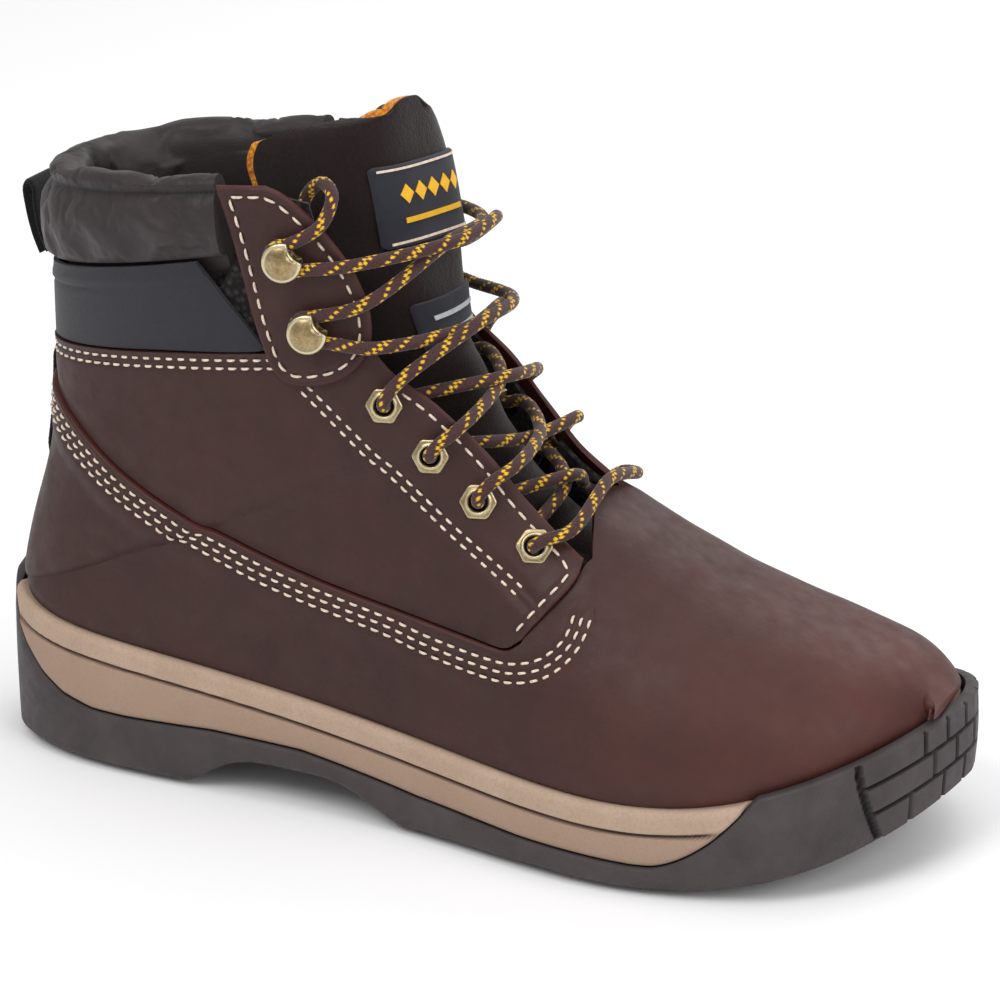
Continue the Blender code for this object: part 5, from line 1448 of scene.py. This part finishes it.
# ---- eyelets and hooks ----------------------------------------------------------------------
def turned(name, profile, centre, axis, sides, look, slot, replaces, radius=None, rim=None, closed=False):
    """Turned piece: profile of (radius, height); radius() may shape each ring by angle."""
    a = unit(np.cross(axis, (0.0, 0.0, 1.0)))
    b = np.cross(axis, a)
    ang = np.arange(sides) * 2 * np.pi / sides
    rings = []
    for r, h in profile:
        rr = radius(r, ang) if radius else np.full(sides, r)
        rings.append(centre + a * (rr * np.cos(ang))[:, None] + b * (rr * np.sin(ang))[:, None] + axis * h)
    rows = len(profile)
    if closed:
        faces = grid_faces(rows, sides, around=True)
        faces.append(tuple(range(sides))[::-1])
        faces.append(tuple((rows - 1) * sides + k for k in range(sides)))
    else:
        rings.append(rings[0])
        faces = grid_faces(rows + 1, sides, around=True)
        faces = [[k % (rows * sides) for k in f] for f in faces]
        rings = rings[:-1]
    tone = np.concatenate([np.full(sides, v) for v in rim]) if rim else np.zeros(rows * sides)
    return make(name, np.concatenate(rings), faces, look, slot=slot, replaces=replaces,
                marks={"rim": tone}, sharp=50)


def hexagon(r, ang):
    """Rings past the barrel turn into a hexagon with rounded corners."""
    share = smooth(EYELET_HOLE_R + 1.3, EYELET_OUT_R - 0.7, r)
    a = np.mod(ang, np.pi / 3) - np.pi / 6
    six = np.minimum(r * math.cos(math.pi / 6) / np.cos(a) * 1.05, r * 1.005)
    return r * (1 - share) + six * share


def hook_bite(turn):
    """Ring shape of a hook's head, bitten on the side where the lace runs in."""
    centre_r, bite_r = 9.2, 5.6

    def shape(r, ang):
        if r < HOOK_R * 0.45:
            return np.full(len(ang), r)
        rel = ang - turn
        disc = bite_r ** 2 - (centre_r * np.sin(rel)) ** 2
        near = centre_r * np.cos(rel) - np.sqrt(np.maximum(disc, 0))
        limit = np.where((disc > 0) & (np.cos(rel) > 0), near, 99.0)
        return np.minimum(r, np.maximum(limit - (HOOK_R - r) * 0.55, 1.6))
    return shape


def brasses():
    for side, word in ((-1, "lateral"), (1, "medial")):
        for k, spot in enumerate(EYELETS):
            p, n = on_form([spot], side)
            p, n = p[0], n[0]
            top = GAP + LEATHER + 0.10
            r = EYELET_HOLE_R
            profile = [(r + 0.05, -0.9), (r, 0.2), (r, top + 0.5), (r + 0.15, top + 1.05),
                       (r + 0.5, top + 1.35), (r + 0.9, top + 1.3), (r + 1.15, top + 1.0),
                       (r + 1.5, top + 0.9), (EYELET_OUT_R - 0.5, top + 0.9),
                       (EYELET_OUT_R - 0.15, top + 0.75), (EYELET_OUT_R + 0.05, top + 0.4),
                       (EYELET_OUT_R, top - 0.15), (r + 0.9, top - 0.1), (r + 0.9, -0.2),
                       (r + 1.9, -0.6), (r + 1.7, -1.2)]
            tone = [0, 0, 0.2, 0.7, 1.0, 0.7, 0.1, 0, 0.2, 0.8, 0.7, 0.2, 0, 0, 0, 0]
            turned("eyelet_brass_%s_%d" % (word, k + 1), profile, p, n, 72, "antique_brass", "antique_brass",
                   ["eyelet_%s_%d" % (word, k + 1)], hexagon, tone)
        for k, spot in enumerate(HOOKS):
            p, n = on_form([spot], side)
            p, n = p[0], n[0]
            ahead = on_form([(spot[0] + 3.0, spot[1] + 2.4)], side)[0][0] - p
            a = unit(np.cross(n, (0.0, 0.0, 1.0)))
            turn = math.atan2(float(ahead @ np.cross(n, a)), float(ahead @ a))
            base = FLAP_TOP + 0.2
            profile = [(0.2, -1.2), (3.2, -1.1), (3.4, -0.5), (1.6, -0.3), (1.6, base), (4.7, base),
                       (4.9, base + 0.4), (4.5, base + 0.9), (2.2, base + 1.1), (2.0, base + 2.0),
                       (2.0, base + 4.6), (2.4, base + 5.4),
                       (HOOK_R - 0.4, base + 5.6), (HOOK_R, base + 5.9), (HOOK_R + 0.05, base + 6.4),
                       (HOOK_R - 0.2, base + 6.9), (HOOK_R - 0.8, base + 7.1), (HOOK_R - 1.2, base + 6.95),
                       (HOOK_R * 0.65, base + 7.45), (HOOK_R * 0.35, base + 7.8), (0.2, base + 7.9)]
            tone = [0] * 12 + [0.4, 0.8, 1.0, 1.0, 0.8, 0.2, 0.05, 0, 0]
            turned("hook_brass_%s_%d" % (word, k + 1), profile, p, n, 72, "antique_brass", "antique_brass",
                   ["hook_%s_%d" % (word, k + 1)], hook_bite(turn), tone, closed=True)


brasses()


# ---- lace -----------------------------------------------------------------------------------
HOOK_BASE = GAP * 2 + LEATHER * 2 + 0.15


def at(x, z, side, off):
    return on_form([(x, z)], side, off)[0][0]


def ridge(x, z, off, y=0.0):
    """Point over the ridge on the rib through a side-view point."""
    u = float(place([(x, z)], -1)[0, 0])
    n = unit(normal(u, 0.99, -1) + normal(u, 0.99, 1))
    p = form(u, 1.0, -1) + n * off
    p[1] = y
    return p


def hook_turn(k, side):
    """Half turn of the lace round the back of a hook stem, from below to above."""
    x, z = HOOKS[k]
    p, n = on_form([(x, z)], side)
    p, n = p[0], n[0]
    c = p + n * (HOOK_BASE + 3.2)
    fwd = unit(at(x + 3, z + 1.0, side, 0) - p)
    upw = unit(np.cross(n, fwd) * -side)
    upw = -upw if upw[2] < 0 else upw
    return [c + (fwd * math.cos(math.radians(a)) + upw * math.sin(math.radians(a))) * 4.5
            for a in (-62, -100, -140, 180, 140, 100, 62)]


def strand(side, order):
    """Half of the lace from the middle of the bottom bar to its end."""
    x, z = EYELETS[3]
    pts = [at(x + 8, z + 2.0, side, 6.2), at(x + 2.5, z + 0.8, side, 6.3), at(x, z, side, 4.2),
           at(x, z, side, -2.2), at(x - 2.0, z + 4.5, side, -5.6), ridge(19.5, 95.5, -4.8 + order * 4.5)]
    side = -side
    ex, ez = EYELETS[2]
    pts += [at(ex + 4.5, ez + 1.5, side, -5.4), at(ex + 0.8, ez + 0.3, side, -4.2), at(ex, ez, side, 3.4)]
    for k in (2, 1):
        x, z = EYELETS[k]
        nx, nz = EYELETS[k - 1]
        pts += [at(x + 0.2, z + 1.4, side, 5.8), at(x + 2.4, z + 5.0, side, 6.5),
                at(x + 6.5, z + 8.5, side, 5.4), ridge((x + nx) / 2, (z + nz) / 2, -4.8 + order * 4.5)]
        side = -side
        pts += [at(nx + 9.5, nz + 3.2, side, -4.4), at(nx + 3.6, nz + 1.2, side, -5.4),
                at(nx + 0.8, nz + 0.3, side, -4.2), at(nx, nz, side, 3.4)]
    x, z = EYELETS[0]
    hx, hz = HOOKS[1]
    over = (-9.0, 17.0) if side < 0 else (17.0, -9.0)
    pts += [at(x + 0.2, z + 1.4, side, 5.8), at(x + 2.0, z + 5.0, side, 6.6),
            at(x + 5.5, z + 9.0, side, 5.2),
            *(ridge((x + hx) / 2 + 1, (z + hz) / 2 - 2, -3.5 + order * 4.5, y) for y in over)]
    side = -side
    pts += [at(-21.5, 144.0, side, HOOK_BASE + 3.0)] + hook_turn(1, side)
    pts += [at(-25.0, 156.5, side, HOOK_BASE + 3.0),
            *(ridge(-41.0, 162.0, 1.0 + order * 4.5, y) for y in over[::-1])]
    side = -side
    pts += [at(-29.5, 168.0, side, HOOK_BASE + 3.0)] + hook_turn(0, side)
    pts += [at(*q[:2], side, q[2]) for q in (
        (-36.0, 180.0, HOOK_BASE + 2.4), (-33.5, 187.5, 3.2), (-36.0, 190.0, -3.0), (-40.5, 186.0, -7.2),
        (-44.0, 176.0, -7.4), (-46.5, 164.0, -7.6), (-49.0, 150.0, -8.2), (-52.0, 134.0, -9.0),
        (-55.0, 118.0, -10.0), (-58.0, 102.0, -11.5))]
    return pts


STRANDS = 10                                 # yarns each way round the braid
BRAID_PITCH = 16.0                           # one turn of a yarn along the lace
YELLOW_YARNS = (2, 3, 7)                     # of the yarns that run one way


def lace():
    line = np.array(strand(-1, 0)[::-1] + [ridge(36.5, 96.5, 6.0)] + strand(1, 1))
    length = np.linalg.norm(np.diff(catmull(line, 4000), axis=0), axis=1).sum()
    n = int(length / 0.36)
    p = catmull(line, n)
    t = unit(np.gradient(p, axis=0))
    frame_n = np.zeros_like(p)
    up = unit(np.cross(t[0], (0.3, 1.0, 0.2)))
    for i in range(n):
        up = unit(up - t[i] * (up @ t[i]))
        frame_n[i] = up
    side = np.cross(t, frame_n)
    sides = 36
    ang = np.arange(sides) * 2 * np.pi / sides
    run = np.linspace(0, length, n)
    a = (ang[None] / (2 * np.pi) + run[:, None] / BRAID_PITCH) * STRANDS
    b = (-ang[None] / (2 * np.pi) + run[:, None] / BRAID_PITCH) * STRANDS
    over = np.mod(np.floor(a) + np.floor(b), 2) == 0
    fa, fb = np.mod(a, 1) - 0.5, np.mod(b, 1) - 0.5
    across = np.where(over, fa, fb)
    along = np.where(over, fb, fa)
    bump = np.sqrt(np.clip(1 - (1.9 * across) ** 2, 0, 1)) * (0.55 + 0.45 * np.cos(np.pi * along))
    r = LACE_D / 2 - 0.20 + 0.24 * bump
    fleck = (over & np.isin(np.mod(np.floor(a), STRANDS), YELLOW_YARNS)).astype(float)
    spoke = frame_n[:, None] * np.cos(ang)[None, :, None] + side[:, None] * np.sin(ang)[None, :, None]
    verts = p[:, None] + spoke * r[..., None]
    faces = grid_faces(n, sides, around=True)
    faces.append(tuple(range(sides))[::-1])
    faces.append(tuple((n - 1) * sides + k for k in range(sides)))
    # the valley mark paints shade in the hollows between the braid's yarns
    make("lace_braid", verts.reshape(-1, 3), faces, "braided_lace", slot="braided_lace", replaces=["lace"],
         marks={"fleck": (fleck * (bump > 0.25)).reshape(-1),
                "valley_shade": 1 - np.clip(bump * 1.6, 0, 1).reshape(-1)}, sharp=180)
    print("lace length %.3f m" % (length * MM))
    for word, a, b in (("medial", line[1], line[0]), ("lateral", line[-2], line[-1])):
        axis = unit(b - a)
        profile = [(0.6, -0.4), (1.9, -0.4), (2.05, 0.1), (2.0, 1.2), (1.85, 2.0), (1.85, 9.0),
                   (1.95, 9.4), (1.85, 9.8), (1.85, 20.6), (1.7, 21.6), (1.1, 22.1), (0.2, 22.2)]
        turned("lace_tip_sleeve_" + word, profile, b, axis, 28, "lace_tip", "lace_tip", ["lace_tip_" + word],
               closed=True)


lace()


# ---- stitching ------------------------------------------------------------------------------
def stitches(name, rows, body="boot", thread=0.42):
    """One piece of many stitches; rows are (points, normals, pitch, stitch length)."""
    verts, faces = [], []
    sides, rings = 7, 7
    ang = np.arange(sides) * 2 * np.pi / sides
    t = np.linspace(-1, 1, rings)
    dip = -0.62 * np.abs(t) ** 3
    girth = thread * np.sqrt(np.clip(1 - 0.82 * np.abs(t) ** 4, 0, 1))
    for pts, nrm, pitch, length in rows:
        run = np.concatenate([[0], np.cumsum(np.linalg.norm(np.diff(pts, axis=0), axis=1))])
        count = max(1, int(round(run[-1] / pitch)))
        for mid in (np.arange(count) + 0.5) * run[-1] / count:
            q = mid + t * length / 2
            c = np.stack([np.interp(q, run, pts[:, k]) for k in range(3)], -1)
            n = unit(np.array([np.interp(mid, run, nrm[:, k]) for k in range(3)]))
            d = unit(c[-1] - c[0])
            w = unit(np.cross(d, n))
            base = len(verts)
            for k in range(rings):
                centre = c[k] + n * (0.10 + dip[k])
                for g in ang:
                    verts.append(centre + (w * math.cos(g) + n * math.sin(g) * 0.85) * girth[k])
            faces += grid_faces(rings, sides, base, around=True)
            faces.append([base + k for k in range(sides)][::-1])
            faces.append([base + (rings - 1) * sides + k for k in range(sides)])
    make(name, np.array(verts), faces, "thread", body=body, sharp=180)


def row(line, side, off, pitch=4.1, length=2.7):
    p, n = on_form(line, side, off)
    return p, n, pitch, length


def upper_stitches():
    for side, word in ((-1, "lateral"), (1, "medial")):
        rows = []
        for line in VAMP_ROWS:
            keep = (distance(line, TAB_LINE) > 1.2) | (line[:, 0] < 30)
            inside = (line[:, 0] > 33) & (line[:, 1] > 66.5) & (distance(line, TAB_LINE) < 2.2)
            line = line[keep & ~inside]
            line = line[line[:, 0] > -134.2]
            lift = VAMP_LIFT * (1 - smooth(28, 38, line[:, 0]))
            rows.append(row(line, side, QUARTER_TOP + lift - 0.42 + 0.34, 4.1, 2.6))
        stitches("stitches_vamp_" + word, rows)
        rows = [row(line, side, QUARTER_TOP - 0.05, 3.9, 2.5) for line in FACING_ROWS]
        lift = 1.25 * (1 - smooth(4, 14, distance(FACING_EDGE_ROW, TAB_LINE)))
        rows.append(row(FACING_EDGE_ROW, side, QUARTER_TOP + lift - 0.05, 4.9, 3.4))
        rows += [row(line[line[:, 0] > -133.4], side, QUARTER_TOP - 0.05, 4.1, 2.6) for line in BAND_ROWS]
        stitches("stitches_quarter_" + word, rows)
        stitches("stitches_flap_" + word, [row(FLAP_ROW, side, FLAP_TOP + 0.18, 4.9, 3.5)])


upper_stitches()
